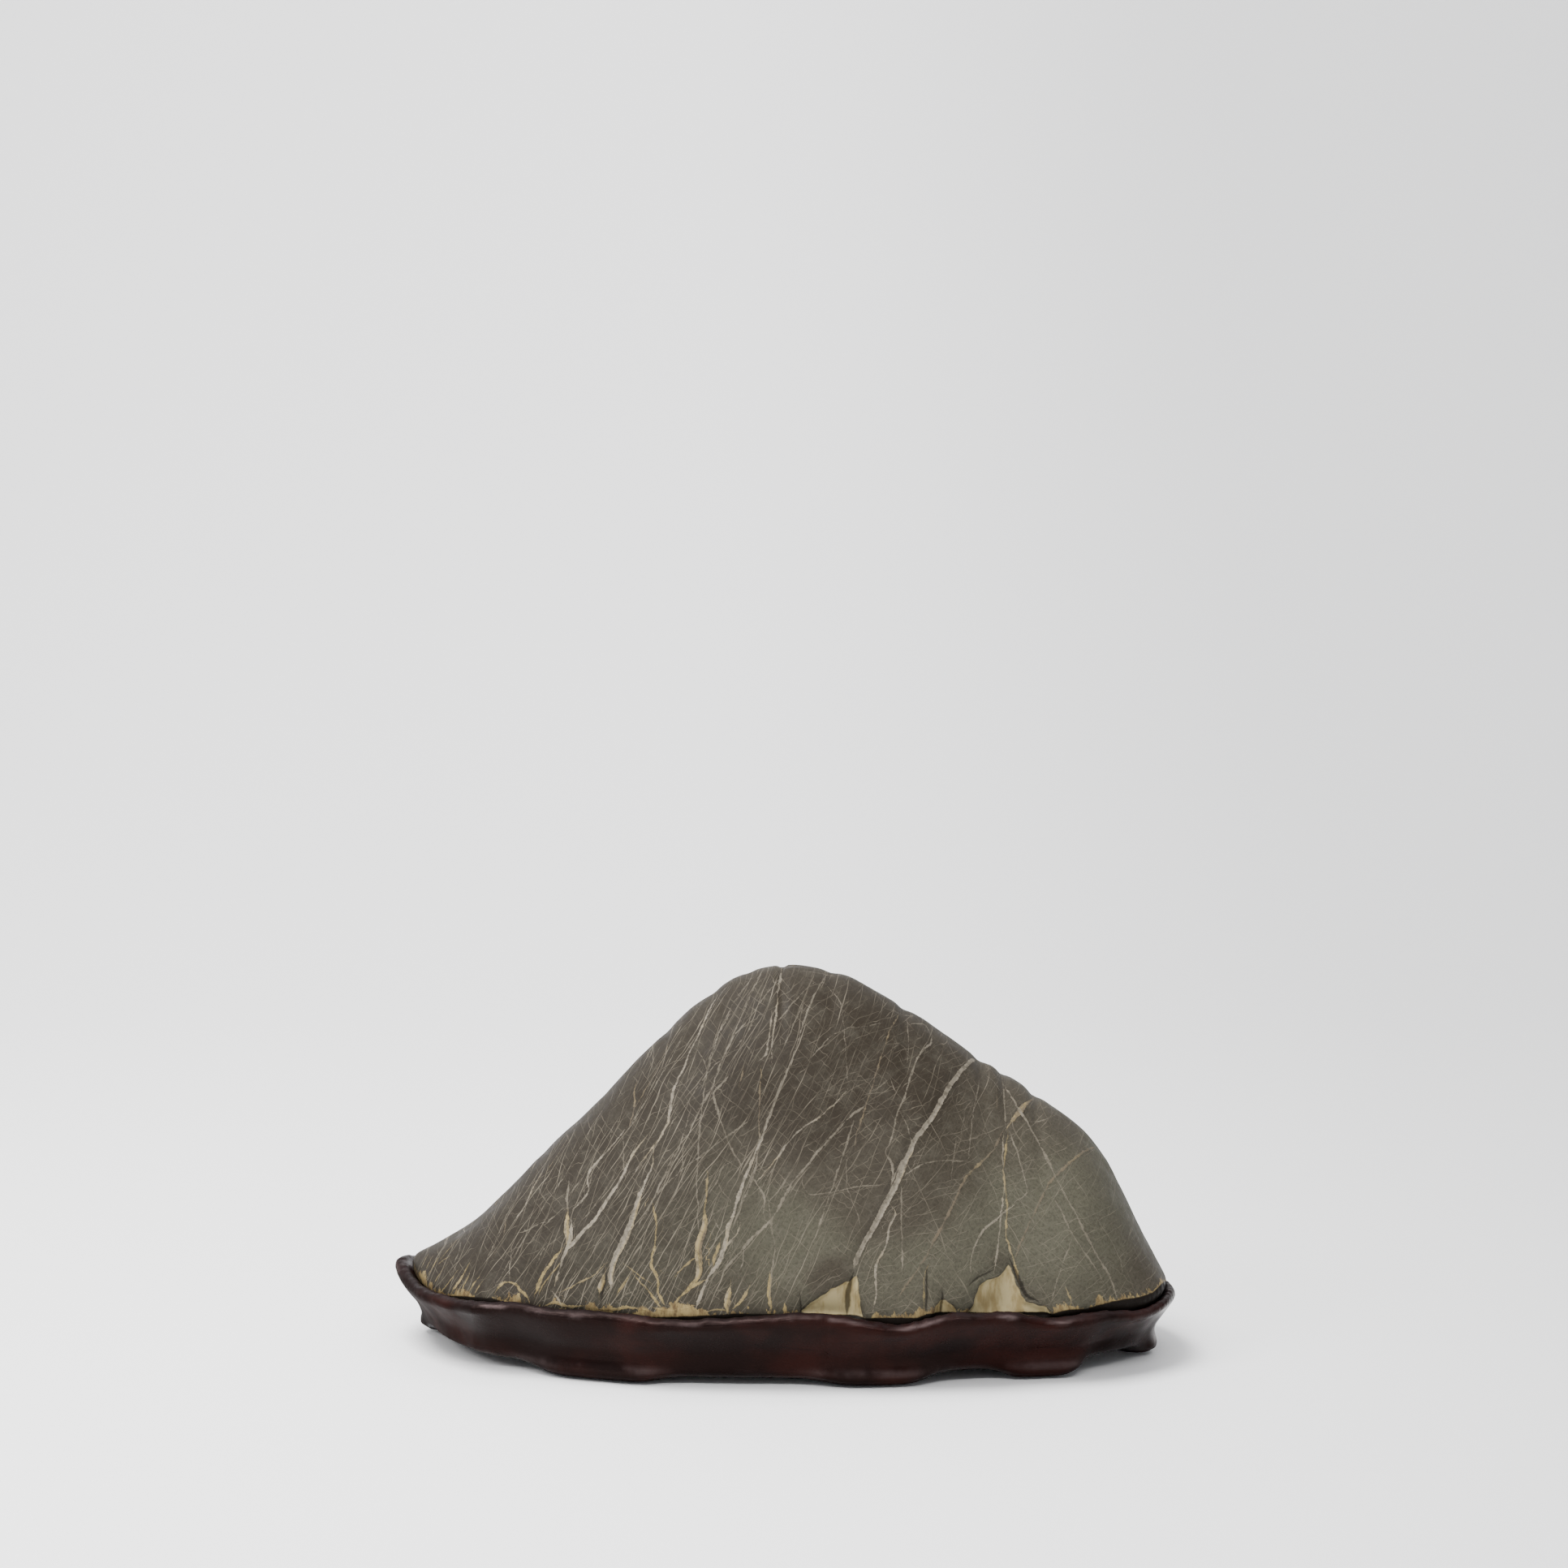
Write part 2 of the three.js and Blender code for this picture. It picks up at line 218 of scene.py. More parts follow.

# The rim's top is worn; the rim's front edge and the toe tops get a painted highlight over light wear.
across, height = stand_points[:, 0], stand_points[:, 2]
near_top = smooth_step(*RIM_EDGE_DEPTHS, beside(stand_points, rim_height) - height)
rounded = smooth_step(0.05, 0.35, upward) * smooth_step(0.85, 0.6, upward)
rim_edge = near_top * rounded * outward
glint = 0.4 * (stand_points[:, 1] > 0)
for start, end in RIM_GLINTS:
    inside = smooth_step(start - 2, start + 2, across) * smooth_step(end + 2, end - 2, across)
    glint = np.maximum(glint, inside * (stand_points[:, 1] < 0))
# Painted highlight on the tops of the toes.
toe_highlight = toe_share * wall * hump(height, TOE_SHINE, SHINE_HALF)
underside = smooth_step(0.0, -0.4, upward) * smooth_step(4, 1.5, height)
left_end = smooth_step(-0.35, -0.75, stand_normals[:, 0])
paint(stand.data, "rim_top", rim_top)
paint(stand.data, "dull", np.maximum(underside, 0.8 * left_end))
paint(stand.data, "wear_and_highlight", np.maximum(rim_edge * (0.15 + 0.85 * glint), 0.5 * toe_highlight))
pick_only(stand)
bpy.ops.object.shade_smooth()


class Finish:
    """A material under construction: nodes are added by name and wired as they come."""

    def __init__(self, name):
        self.material = bpy.data.materials.new(name)
        self.material.use_nodes = True
        self.nodes = self.material.node_tree.nodes
        self.links = self.material.node_tree.links
        self.surface = self.nodes["Principled BSDF"]
        self.place = self.add("ShaderNodeTexCoord").outputs["Object"]

    def add(self, kind, inputs=(), **settings):
        node = self.nodes.new(kind)
        for key, value in settings.items():
            setattr(node, key, value)
        for key, value in dict(inputs).items():
            self.put(node.inputs[key], value)
        return node

    def put(self, socket, value):
        if isinstance(value, bpy.types.NodeSocket):
            self.links.new(value, socket)
        else:
            socket.default_value = value

    def sum(self, operation, *values, clamp=False):
        inputs = dict(enumerate(values))
        return self.add("ShaderNodeMath", inputs, operation=operation, use_clamp=clamp).outputs[0]

    def ramp(self, value, low, high, to_low=0.0, to_high=1.0):
        inputs = {"Value": value, "From Min": low, "From Max": high,
                  "To Min": to_low, "To Max": to_high}
        return self.add("ShaderNodeMapRange", inputs, interpolation_type="SMOOTHSTEP").outputs[0]

    def stretched(self, scale, turn=(0, 0, 0)):
        inputs = {"Vector": self.place, "Rotation": turn, "Scale": scale}
        return self.add("ShaderNodeMapping", inputs).outputs[0]

    def grain(self, scale, detail=4, rough=0.55, place=None, warp=0.0):
        inputs = {"Vector": place or self.place, "Scale": scale, "Detail": detail,
                  "Roughness": rough, "Distortion": warp}
        return self.add("ShaderNodeTexNoise", inputs).outputs[0]

    def blend(self, share, first, second, how="MIX"):
        node = self.add("ShaderNodeMix", data_type="RGBA", blend_type=how)
        self.put(node.inputs[0], share)
        self.put(node.inputs[6], first)
        self.put(node.inputs[7], second)
        return node.outputs[2]

    def painted(self, name):
        return self.add("ShaderNodeAttribute", attribute_name=name)

    def share(self, name):
        """The one number painted on the surface under this name."""
        return self.painted(name).outputs["Fac"]

    def parts(self, name):
        """The three numbers painted on the surface under this name."""
        colour = self.painted(name).outputs["Color"]
        return self.add("ShaderNodeSeparateColor", {"Color": colour}).outputs


LACQUER_DARK = (.0042, .0021, .0019, 1)
LACQUER_RED = (.0135, .0038, .003, 1)
LACQUER_GLINT = (1, .66, .6, 1)
GRAIN_DARK = (.003, .0018, .0018, 1)
RIM_DUST = (.0085, .0055, .0058, 1)
# Lighter colour for a painted highlight, over a little wear, on the rim's front edge and the toe tops.
EDGE_WEAR_AND_HIGHLIGHT = (.064, .047, .046, 1)

wood = Finish("lacquered_rosewood")
grain_run = wood.stretched((0.16, 0.8, 1.0))
long_grain = wood.grain(260, 6, 0.6, grain_run, 0.6)
pores = wood.grain(1500, 3, 0.6, wood.stretched((0.09, 0.6, 1.0)))
clouding = wood.grain(28, 3)
base = wood.blend(wood.ramp(clouding, 0.4, 0.65), LACQUER_DARK, LACQUER_RED)
base = wood.blend(wood.ramp(long_grain, 0.48, 0.75, 0, 0.5), base, GRAIN_DARK)
rim_share = wood.sum("MULTIPLY", wood.share("rim_top"), wood.ramp(wood.grain(420), 0.3, 0.7, 0.3, 0.9))
base = wood.blend(rim_share, base, RIM_DUST)
# The painted highlight and wear lie in broken patches.
wear_and_highlight_patches = wood.ramp(wood.grain(55, 3), 0.4, 0.6, 0.1, 0.85)
base = wood.blend(wood.sum("MULTIPLY", wood.share("wear_and_highlight"), wear_and_highlight_patches), base, EDGE_WEAR_AND_HIGHLIGHT)
wood.put(wood.surface.inputs["Base Color"], base)
polish = wood.ramp(wood.grain(70, 4), 0.3, 0.7, 0.2, 0.34)
rough = wood.sum("ADD", polish, wood.sum("MULTIPLY", rim_share, 0.35))
rough = wood.sum("ADD", rough, wood.sum("MULTIPLY", wood.share("dull"), 0.6), clamp=True)
wood.put(wood.surface.inputs["Roughness"], rough)
wood.surface.inputs["Specular IOR Level"].default_value = 0.06
wood.surface.inputs["Specular Tint"].default_value = LACQUER_GLINT
hand = wood.add("ShaderNodeBump", {"Height": wood.grain(90, 3), "Strength": 0.35,
                                   "Distance": 0.5 * MM})
tooth = wood.sum("ADD", pores, wood.sum("MULTIPLY", rim_share, wood.grain(900, 4)))
skin = wood.add("ShaderNodeBump", {"Height": tooth, "Strength": 0.3, "Distance": 0.12 * MM,
                                   "Normal": hand.outputs[0]})
wood.put(wood.surface.inputs["Normal"], skin.outputs[0])
stand.data.materials.clear()
stand.data.materials.append(wood.material)
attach(stand, "root")
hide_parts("stand")


# Stone: a single grey-brown peak, worn smooth and crossed by hundreds of pale mineral veins and
# hairlines, the widest 3 mm across. It's broken along its foot, where fresh cream stone shows.
SKIN_STEP = 1.9
SKIN_GROWTH = 0.6
FRONT_FACING = -0.12
HOLLOW_DEPTH = 1.6
PALE, QUARTZ, WHITE, CREAM, TAN = 0.0, 0.12, 0.33, 0.66, 1.0

stone = solid_from("stone", "scholar_stone")
apply_modifier(stone, "SUBSURF", levels=2, render_levels=2)
apply_modifier(stone, "REMESH", mode="VOXEL", voxel_size=SKIN_STEP * MM)
apply_modifier(stone, "SMOOTH", factor=0.5, iterations=6)
facings = np.zeros(len(stone.data.polygons) * 3, np.float32)
stone.data.polygons.foreach_get("normal", facings)
stone.data.polygons.foreach_set("select", facings.reshape(-1, 3)[:, 1] < FRONT_FACING)
bpy.ops.object.mode_set(mode="EDIT")
bpy.ops.mesh.select_mode(type="FACE")
bpy.ops.mesh.subdivide(number_cuts=1, smoothness=0)
bpy.ops.mesh.select_all(action="DESELECT")
bpy.ops.object.mode_set(mode="OBJECT")

# Veins of the front, as (tint, widths in mm, line in mm across and up as seen from the front).
FRONT_VEINS = [
    (TAN, (.6,), [(-85.7, 84.6), (-88.8, 79.1), (-93.1, 72.5), (-95.2, 69.4)]),
    (WHITE, (1.3, .7), [(-96, 71.4), (-98.7, 66.9), (-101.2, 62.2), (-102.3, 57.7), (-105.8, 52.4),
        (-108, 49.9)]),
    (PALE, (.5,), [(-100.6, 71.1), (-103.9, 64.4), (-107.5, 57.7), (-111, 51.8), (-113.1, 46.3),
        (-116.2, 39.8), (-119.2, 33.4)]),
    (TAN, (.6,), [(-111.1, 51.8), (-111.3, 46.8), (-112.7, 41.2), (-114.3, 37.9), (-117, 35.1)]),
    (CREAM, (.7,), [(-128.5, 44.6), (-131, 42.4), (-134, 39), (-137, 35.4)]),
    (CREAM, (.6,), [(-134.6, 35.4), (-138.7, 32.6)]),
    (PALE, (.5,), [(-129.6, 41.2), (-129.6, 38.5), (-131, 35.1), (-132.9, 31.5)]),
    (CREAM, (.6,), [(-142.8, 36.2), (-145.2, 32), (-146.2, 27.9)]),
    (CREAM, (.6,), [(-140.9, 35.7), (-143.6, 30.9), (-144.9, 26.7)]),
    (CREAM, (.6,), [(-138.9, 34.8), (-142, 29.5), (-143.9, 25.1)]),
    (CREAM, (.6,), [(-135.7, 31.8), (-137.8, 29), (-140, 25.1)]),
    (CREAM, (1, 1.4), [(-125.3, 33.4), (-128.5, 27.8), (-130.2, 25.1), (-134, 20)]),
    (CREAM, (1.1,), [(-131, 29.5), (-133.2, 26.2), (-137.8, 20.6)]),
    (CREAM, (.9,), [(-125.8, 28.4), (-128.5, 22.8), (-129.1, 20.6)]),
    (CREAM, (.9,), [(-122.5, 26.7), (-124.7, 23.4), (-126.4, 20.6)]),
    (CREAM, (.7,), [(-120.9, 25.3), (-124.2, 20)]),
    (PALE, (.45,), [(-104.5, 44), (-108.3, 37.3), (-112.1, 29.5), (-117.3, 21.2)]),
    (WHITE, (.5,), [(-108.8, 38.5), (-109.7, 31.8), (-110, 25.6)]),
    (PALE, (.6,), [(-94, 49.9), (-97.3, 49.3), (-102, 46.5), (-106.4, 45.1)]),
    (PALE, (.7,), [(-86.9, 56), (-91.8, 51.8), (-95.2, 48.8)]),
    (PALE, (.5,), [(-70.8, 97.4), (-76.2, 88.5), (-81.5, 79.2), (-87.5, 68), (-94.6, 58),
        (-99.5, 49.6), (-105, 40.7), (-108.3, 34.5)]),
    (PALE, (.7,), [(-88, 44.9), (-92.9, 41.2), (-96.8, 37.9), (-98.2, 33.4), (-99.3, 31.2)]),
    (PALE, (1.5,), [(-85.6, 66.3), (-86.4, 59.6), (-86.1, 54.1)]),
    (CREAM, (1.6, 2.4, 1.4), [(-86.1, 54.5), (-86.4, 50.7), (-86.7, 46.3), (-85.9, 42.3),
        (-86.5, 38)]),
    (WHITE, (1.2, 2, 1.4, .8), [(-84.5, 50.5), (-85, 43), (-86.4, 39), (-89.1, 32.3), (-91, 26.7),
        (-91.9, 23.4)]),
    (CREAM, (1.2, 2.2), [(-88.6, 39), (-90.8, 35.7), (-95.7, 29.5), (-98.2, 23.9), (-99.3, 20.6)]),
    (CREAM, (1.3,), [(-89.1, 33.4), (-93.5, 27.9), (-97.3, 22.8), (-97.9, 20.6)]),
    (CREAM, (.8, 1.3, 1.2, .9), [(-116, 20), (-114.3, 23.4), (-112.1, 25.1), (-108.8, 25.1),
        (-106.6, 23.4), (-105.5, 21.2), (-102.8, 19.5), (-101.7, 15.6)]),
    (WHITE, (.8,), [(-92.4, 20.8), (-90.8, 19), (-89.1, 16.7), (-88.3, 14.5)]),
    (CREAM, (.9,), [(-71.3, 32.3), (-75.5, 27.9), (-80.9, 25.3), (-85.9, 22.6), (-88.6, 21.5)]),
    (PALE, (.5,), [(-82.6, 30.7), (-85.9, 24.5), (-88, 17.8)]),
    (PALE, (.5,), [(-66.7, 70.2), (-72.2, 60.8), (-77.1, 54.1), (-81.5, 49)]),
    (WHITE, (1, 1.2, .9), [(-63, 87.4), (-67.4, 81.9), (-71.8, 76.9), (-77.2, 70.8), (-78.4, 66.3),
        (-77.1, 63), (-78.2, 60.8), (-83.1, 55.7), (-84.2, 54.6)]),
    (PALE, (.6,), [(-74.5, 73.4), (-76.8, 69), (-76.2, 66), (-79.6, 63.4), (-79, 60.4)]),
    (PALE, (1,), [(-80.4, 67.5), (-84.2, 62.5), (-85.3, 60.8)]),
    (WHITE, (.7, 1.3, 1.2, .8), [(-25.6, 142.7), (-28.9, 137.2), (-31.1, 130.5), (-34.7, 122.8),
        (-37.4, 117.3), (-39.9, 111.7), (-42.7, 105.9), (-44.4, 98.5), (-45.3, 90.4), (-49.6, 83),
        (-55.1, 76.1), (-59, 70.3)]),
    (WHITE, (1.1, 1.7, 2), [(-54.5, 84.6), (-60, 77.5), (-62.7, 71.4), (-65.5, 65.8), (-70.4, 58),
        (-74.8, 51.3), (-80.2, 45.2), (-86.2, 38.5)]),
    (TAN, (.45,), [(-45, 123.9), (-48.6, 115), (-52.7, 107.3), (-58.8, 96.3)]),
    (PALE, (.6,), [(-39.3, 125.6), (-42.8, 119.5), (-46.9, 112.3), (-52.3, 102.3), (-57, 95.1),
        (-61.4, 87.4)]),
    (TAN, (.6, 1.3, 1), [(-57.9, 107.3), (-59, 104), (-58.7, 99), (-59.6, 93.5), (-61.2, 88.5)]),
    (PALE, (.8,), [(-63.6, 85.2), (-63.6, 78.5), (-63.6, 71.9), (-63, 68.6)]),
    (PALE, (.7,), [(-20.5, 135.5), (-25.7, 125.6), (-28.1, 117.3), (-30.3, 109), (-31.7, 97.9),
        (-32.8, 87.4), (-33.6, 75.8), (-34.3, 67.5), (-33.8, 56.3), (-33.5, 47.4)]),
    (PALE, (.6,), [(-20.6, 123.9), (-25, 114), (-27.7, 104.5), (-32.1, 96.8), (-37, 88)]),
    (PALE, (.5,), [(-20.7, 118.9), (-26.7, 114.5), (-32.6, 106.8), (-37.5, 99), (-41.3, 94),
        (-45.7, 88)]),
    (PALE, (.9,), [(-21, 110.1), (-25.4, 105.1), (-27.5, 102.6), (-26.1, 96.8), (-24, 89.6),
        (-20.5, 80.8), (-15.6, 72.4)]),
    (PALE, (.5,), [(-34.2, 121.1), (-30.6, 115.6), (-29.8, 109.6)]),
    (PALE, (.8,), [(-13.4, 91.3), (-18.3, 87.5), (-24.1, 83.5), (-32.3, 77.2), (-39.4, 71.9),
        (-45.8, 65.8), (-50.2, 60.8)]),
    (PALE, (.6,), [(-39.6, 82.4), (-39.7, 74.2), (-40.2, 65.3)]),
    (PALE, (.55,), [(-36.5, 96.8), (-39, 86.3), (-43.1, 75.8), (-48, 66.4), (-53.4, 56.3),
        (-58.9, 46.3)]),
    (PALE, (.4,), [(-67.5, 89.6), (-69.1, 83.5)]),
    (WHITE, (.6, 1, 2.3, 3, 2.7, 2), [(-51.3, 80.8), (-51.5, 73.6), (-54.3, 67.5), (-57.8, 58.6),
        (-60.8, 48.5), (-63.8, 41.8), (-67.4, 34.6), (-69.3, 27.9), (-69, 22.9)]),
    (CREAM, (2, 2.8), [(-71.5, 28.4), (-72.8, 24.5), (-73.7, 20.6)]),
    (CREAM, (1, 1.4), [(-51.8, 57.4), (-50.2, 49.6), (-51, 40.7), (-52.9, 31.8), (-49.6, 26.7),
        (-50.2, 21.7), (-47.4, 16.1)]),
    (PALE, (.8,), [(-43.1, 78.1), (-46.3, 70.8), (-49.6, 63.4), (-54.6, 53)]),
    (CREAM, (.5, .9, 2.8, 3, 1.1), [(-29.9, 70.3), (-30.2, 60.8), (-31, 54.7), (-31, 48),
        (-33.8, 39.6), (-33, 29.5), (-33.8, 26.7), (-38.1, 22.8)]),
    (CREAM, (.8,), [(-35.1, 35.1), (-39.8, 31.2), (-43.1, 27.3)]),
    (CREAM, (1.2,), [(-29.9, 26.2), (-35.4, 24), (-40.9, 19.5), (-44.2, 14.5)]),
    (WHITE, (1, 1.4, 1.8, 1.2), [(-5.2, 92), (-8, 84.1), (-11.8, 74.7), (-16.2, 64.1),
        (-18.9, 54.6), (-21.6, 47.4), (-22.7, 40.1), (-24.6, 34), (-28.5, 29.5), (-32, 21.2),
        (-34.9, 13.9)]),
    (CREAM, (1.6,), [(-24.5, 42.4), (-27.2, 35.1), (-27.8, 31.8)]),
    (PALE, (1,), [(-9.1, 92), (-8.8, 84.7), (-10.2, 72.4), (-13.4, 63), (-18.1, 53.5)]),
    (WHITE, (.8,), [(-16.6, 49.1), (-18.5, 44), (-23.4, 39)]),
    (WHITE, (.7,), [(-15.2, 39.6), (-15.7, 32.9), (-16.8, 30.1)]),
    (CREAM, (.9, 1.5), [(-60, 28.4), (-54.5, 22.8), (-49.1, 15)]),
    (CREAM, (.8,), [(-62.7, 31.8), (-56.7, 27.3), (-52.3, 24.5)]),
    (CREAM, (.8,), [(-61.1, 28.4), (-65.5, 21.7), (-67.1, 18.9)]),
    (PALE, (.6,), [(-58.4, 22.8), (-65.5, 18.4), (-67.1, 16.7)]),
    (CREAM, (2.6,), [(-20.9, 22.8), (-22.3, 16.1), (-22, 12.8)]),
    (CREAM, (1.5,), [(-13, 23.4), (-16.8, 16.7), (-19.6, 14.5)]),
    (CREAM, (1.6,), [(-4.3, 28.4), (-5.1, 20.6), (-4.3, 13.3)]),
    (WHITE, (1, .7), [(.2, 154), (-1.4, 143.8), (-2, 136.1), (-3.6, 125), (-3.9, 115.1)]),
    (WHITE, (.8,), [(-3.9, 136.1), (-4.7, 127.2), (-5.8, 118.7), (-8.8, 116.2)]),
    (TAN, (.8,), [(-8.2, 112.3), (-8.8, 99.6), (-9, 90.8), (-8.8, 84.7)]),
    (PALE, (.8,), [(18.7, 152.1), (13.3, 142.7), (8.7, 131.1), (5.1, 118.4), (.5, 107.3),
        (-3.3, 97.4), (-7.1, 86.9), (-9.6, 80.8)]),
    (PALE, (.55,), [(8.9, 139.4), (5.7, 132.2), (1.3, 121.7)]),
    (PALE, (.5,), [(13.3, 147.7), (7.3, 142.2), (-1.4, 132.2)]),
    (PALE, (.65,), [(-.3, 149.9), (-6.3, 142.2), (-12.9, 133.3), (-19.4, 125.6), (-23.8, 116.2),
        (-27.6, 105.1), (-33.6, 95.7)]),
    (PALE, (.5,), [(-6.9, 153.2), (-11.8, 143.8), (-16.1, 133.9), (-20.2, 123.9)]),
    (PALE, (.55,), [(-11.8, 149.9), (-18.3, 140.5), (-23.5, 131.1), (-27.6, 121.2),
        (-29.8, 112.9)]),
    (PALE, (.5,), [(-20.5, 147.1), (-24.8, 142.2), (-30.3, 133.3), (-33.6, 125.6)]),
    (PALE, (.6,), [(-11.2, 132.2), (-14, 126.7), (-18.3, 121.4)]),
    (PALE, (.5,), [(-15, 123.9), (-11.8, 118.9)]),
    (TAN, (.7,), [(48.2, 136.1), (43.8, 129.4), (40.5, 118.9), (36.7, 106.2), (33.2, 95.2),
        (29.9, 84.7), (29.7, 80.8)]),
    (PALE, (.8, 1.3), [(34, 98), (28.6, 94.1), (22, 86.9), (14.4, 78.6), (10.1, 72.4), (4.6, 66.9),
        (.8, 59.1), (-4.7, 49.6), (-10.2, 45.1), (-17.3, 36.8), (-24.5, 28.4)]),
    (PALE, (.5,), [(43.5, 109), (37.8, 104), (35.1, 101.3)]),
    (PALE, (.5,), [(43.5, 109), (46.5, 102.4)]),
    (WHITE, (.75,), [(26.4, 104), (20.4, 97.4), (13.8, 91.9), (7.8, 88), (1.3, 80.8), (-3.6, 73.6),
        (-10.7, 65.8)]),
    (PALE, (.5,), [(-1.4, 75.2), (-6.9, 65.8), (-9.1, 61.8)]),
    (PALE, (.5,), [(40, 131.1), (34, 129.7), (26.4, 129.2), (19.3, 125.6), (10.6, 115.6)]),
    (PALE, (.35,), [(16.6, 148.2), (23.1, 141.1), (25, 130.6), (26.6, 108.5)]),
    (PALE, (.4,), [(5.7, 152.4), (15.5, 151.3), (25.3, 149.9)]),
    (TAN, (.6,), [(-15, 113.4), (-17.2, 106.2)]),
    (PALE, (.9,), [(-13.7, 70.5), (-9.6, 65.2), (-6.3, 59.1), (-7.4, 54), (-6.1, 50.7)]),
    (PALE, (.8,), [(29.2, 92), (24.8, 76.9), (20.2, 63), (15.8, 50.1), (13.3, 41.8)]),
    (PALE, (.8,), [(-5, 58.5), (-4.2, 50.1), (-2.5, 39), (-3.9, 27.8), (-4.7, 16.7)]),
    (PALE, (.7,), [(-4.7, 58.5), (.2, 64.1), (3.5, 70.2)]),
    (PALE, (.5,), [(-25.5, 65.2), (-20.5, 58.5)]),
    (PALE, (.6,), [(-29.3, 61.6), (-26, 66.3), (-23.8, 73), (-20, 74.7)]),
    (PALE, (.5,), [(-29.3, 51.8), (-23.8, 55.7)]),
    (PALE, (.5,), [(-27.1, 51.8), (-26, 47.9), (-23.8, 45.7)]),
    (PALE, (.5,), [(8.4, 69.7), (8.4, 65.8), (11.1, 60.7), (18.8, 61.8), (30.3, 64.6),
        (41.2, 65.2)]),
    (PALE, (.5,), [(26.4, 76.9), (26.4, 64.1), (31.4, 51.8), (31.9, 48.5)]),
    (WHITE, (.9,), [(45, 55.7), (46.4, 53.5), (43.4, 47.9), (42.8, 41.2), (37.9, 31.7),
        (38.2, 25.1), (38.7, 18.9), (37.1, 13.4)]),
    (PALE, (.7,), [(48.3, 64.6), (48.6, 50.1), (48.9, 30)]),
    (QUARTZ, (1.5, 2.1, 2.2, 1.9, 2.5, 2.4, 2.1, 2), [(79.5, 116.2), (76.5, 116.2), (72.2, 111.8),
        (67.2, 105.1), (62.9, 96.9), (58.5, 89.7), (53.6, 83.6), (50.2, 75.2), (46.7, 66.3),
        (41.5, 56), (36.3, 46), (32, 38.4), (29.2, 30.6)]),
    (PALE, (.8,), [(49.5, 76.4), (45.7, 69.1), (44, 64.7)]),
    (PALE, (.9,), [(60.2, 125.6), (60.2, 123.1), (55.3, 118.9), (53.1, 113.4), (50.6, 105.1),
        (49.3, 100.2), (46.5, 94.1), (44.6, 83.6), (41.8, 78.3), (45, 74.1), (45, 69.7),
        (44.5, 65.2)]),
    (PALE, (.5,), [(60.2, 125.6), (57.4, 130.6), (51.4, 130.8)]),
    (PALE, (.4,), [(50.6, 132.2), (51.2, 121.7), (50.6, 116.2)]),
    (PALE, (.5,), [(41.6, 136.9), (49.8, 134.7), (53.6, 133.9)]),
    (PALE, (.5,), [(47.6, 95.7), (50.9, 88.5), (52, 84.1)]),
    (PALE, (.6,), [(79.8, 107.9), (77.1, 94.6), (76, 83.6), (75.4, 75.9)]),
    (PALE, (.5,), [(73.8, 94.6), (71.9, 85.2)]),
    (TAN, (.5,), [(86.3, 104), (86.9, 95.2)]),
    (PALE, (.5,), [(82.5, 109.6), (88.5, 102.9)]),
    (PALE, (.7,), [(88.8, 109.9), (89.9, 101.8), (90.4, 88)]),
    (PALE, (1.3, 1.2, .8), [(90.1, 105.7), (94.6, 97.4), (99, 90.7), (104.5, 81.2), (108.9, 71.8),
        (113.3, 63.4), (120.5, 49.5), (127.7, 35.6), (133.2, 26.2), (136, 17.3)]),
    (CREAM, (.8, 2.5, .5), [(91, 88.5), (94, 93), (98, 98), (102, 101)]),
    (TAN, (1.3,), [(102.1, 101.3), (98.3, 97.4), (94, 92.4), (90.7, 88.5)]),
    (TAN, (1, 1.2, .8), [(89.6, 87.5), (84.7, 78.1), (80.2, 74.1), (74.2, 68), (70.3, 59.6),
        (66, 50.7), (61.6, 41.8), (56.1, 31.8), (50.1, 23.4), (47.3, 18.4)]),
    (PALE, (.7,), [(91.8, 86.9), (95.6, 77), (98.8, 65.8), (99.4, 61.3), (94.2, 58)]),
    (PALE, (.6,), [(50.1, 69.1), (56.1, 73.6), (63.8, 75.3), (75.8, 74.7)]),
    (PALE, (.45,), [(100.5, 90.8), (108.1, 92.1)]),
    (PALE, (.5,), [(70.3, 83.6), (68.4, 67.5)]),
    (CREAM, (.8, 1), [(59.4, 31.8), (57.7, 27.9), (57.7, 21.2), (57.7, 13.4)]),
    (WHITE, (.9,), [(89.5, 85.3), (89.2, 76.4), (90.1, 65.8), (89, 54.1), (87.3, 37.9),
        (86.2, 30.1)]),
    (CREAM, (.9,), [(91.2, 85.3), (89.5, 70.8), (91.2, 55.7), (90.6, 44.6), (94.2, 33.4),
        (96.4, 25.1)]),
    (WHITE, (.9,), [(93.9, 56.9), (88.4, 52.4), (80.7, 45.7), (78, 40.7), (76.4, 33.4),
        (76.6, 29.5)]),
    (TAN, (1.3, 1), [(125.8, 80.1), (122, 79), (113.8, 71.8), (107.9, 65.7), (102.5, 54),
        (98.2, 44.5), (94.5, 34.8)]),
    (PALE, (.75,), [(110.6, 59), (117.2, 45.1), (124.9, 34), (129.9, 25.6)]),
    (PALE, (.6,), [(117.3, 42.3), (112.5, 28.4), (109.8, 18.4)]),
    (PALE, (.8,), [(133, 67.9), (133, 64)]),
    (PALE, (.5,), [(145.2, 45.6), (142.5, 39.5)]),
    (PALE, (.7,), [(136.5, 34.5), (137.7, 29.5)]),
    (CREAM, (.8, 1.5, .7), [(-74, 14.2), (-68, 13.8), (-61, 15.2), (-54, 13.4)]),
    (CREAM, (.7, 1.3, .8), [(-52, 14.6), (-45, 13.2), (-40, 14), (-35, 15.6)]),
    (CREAM, (.7, 1, .6), [(-31, 12.8), (-26, 14.2), (-21, 13)]),
    (CREAM, (.7, 1.4, .6), [(-96, 15.4), (-91, 17.2), (-86, 15), (-79, 15.6)]),
    (CREAM, (1.2,), [(115.2, 22.3), (117.5, 17.3), (117, 15.1)]),
]
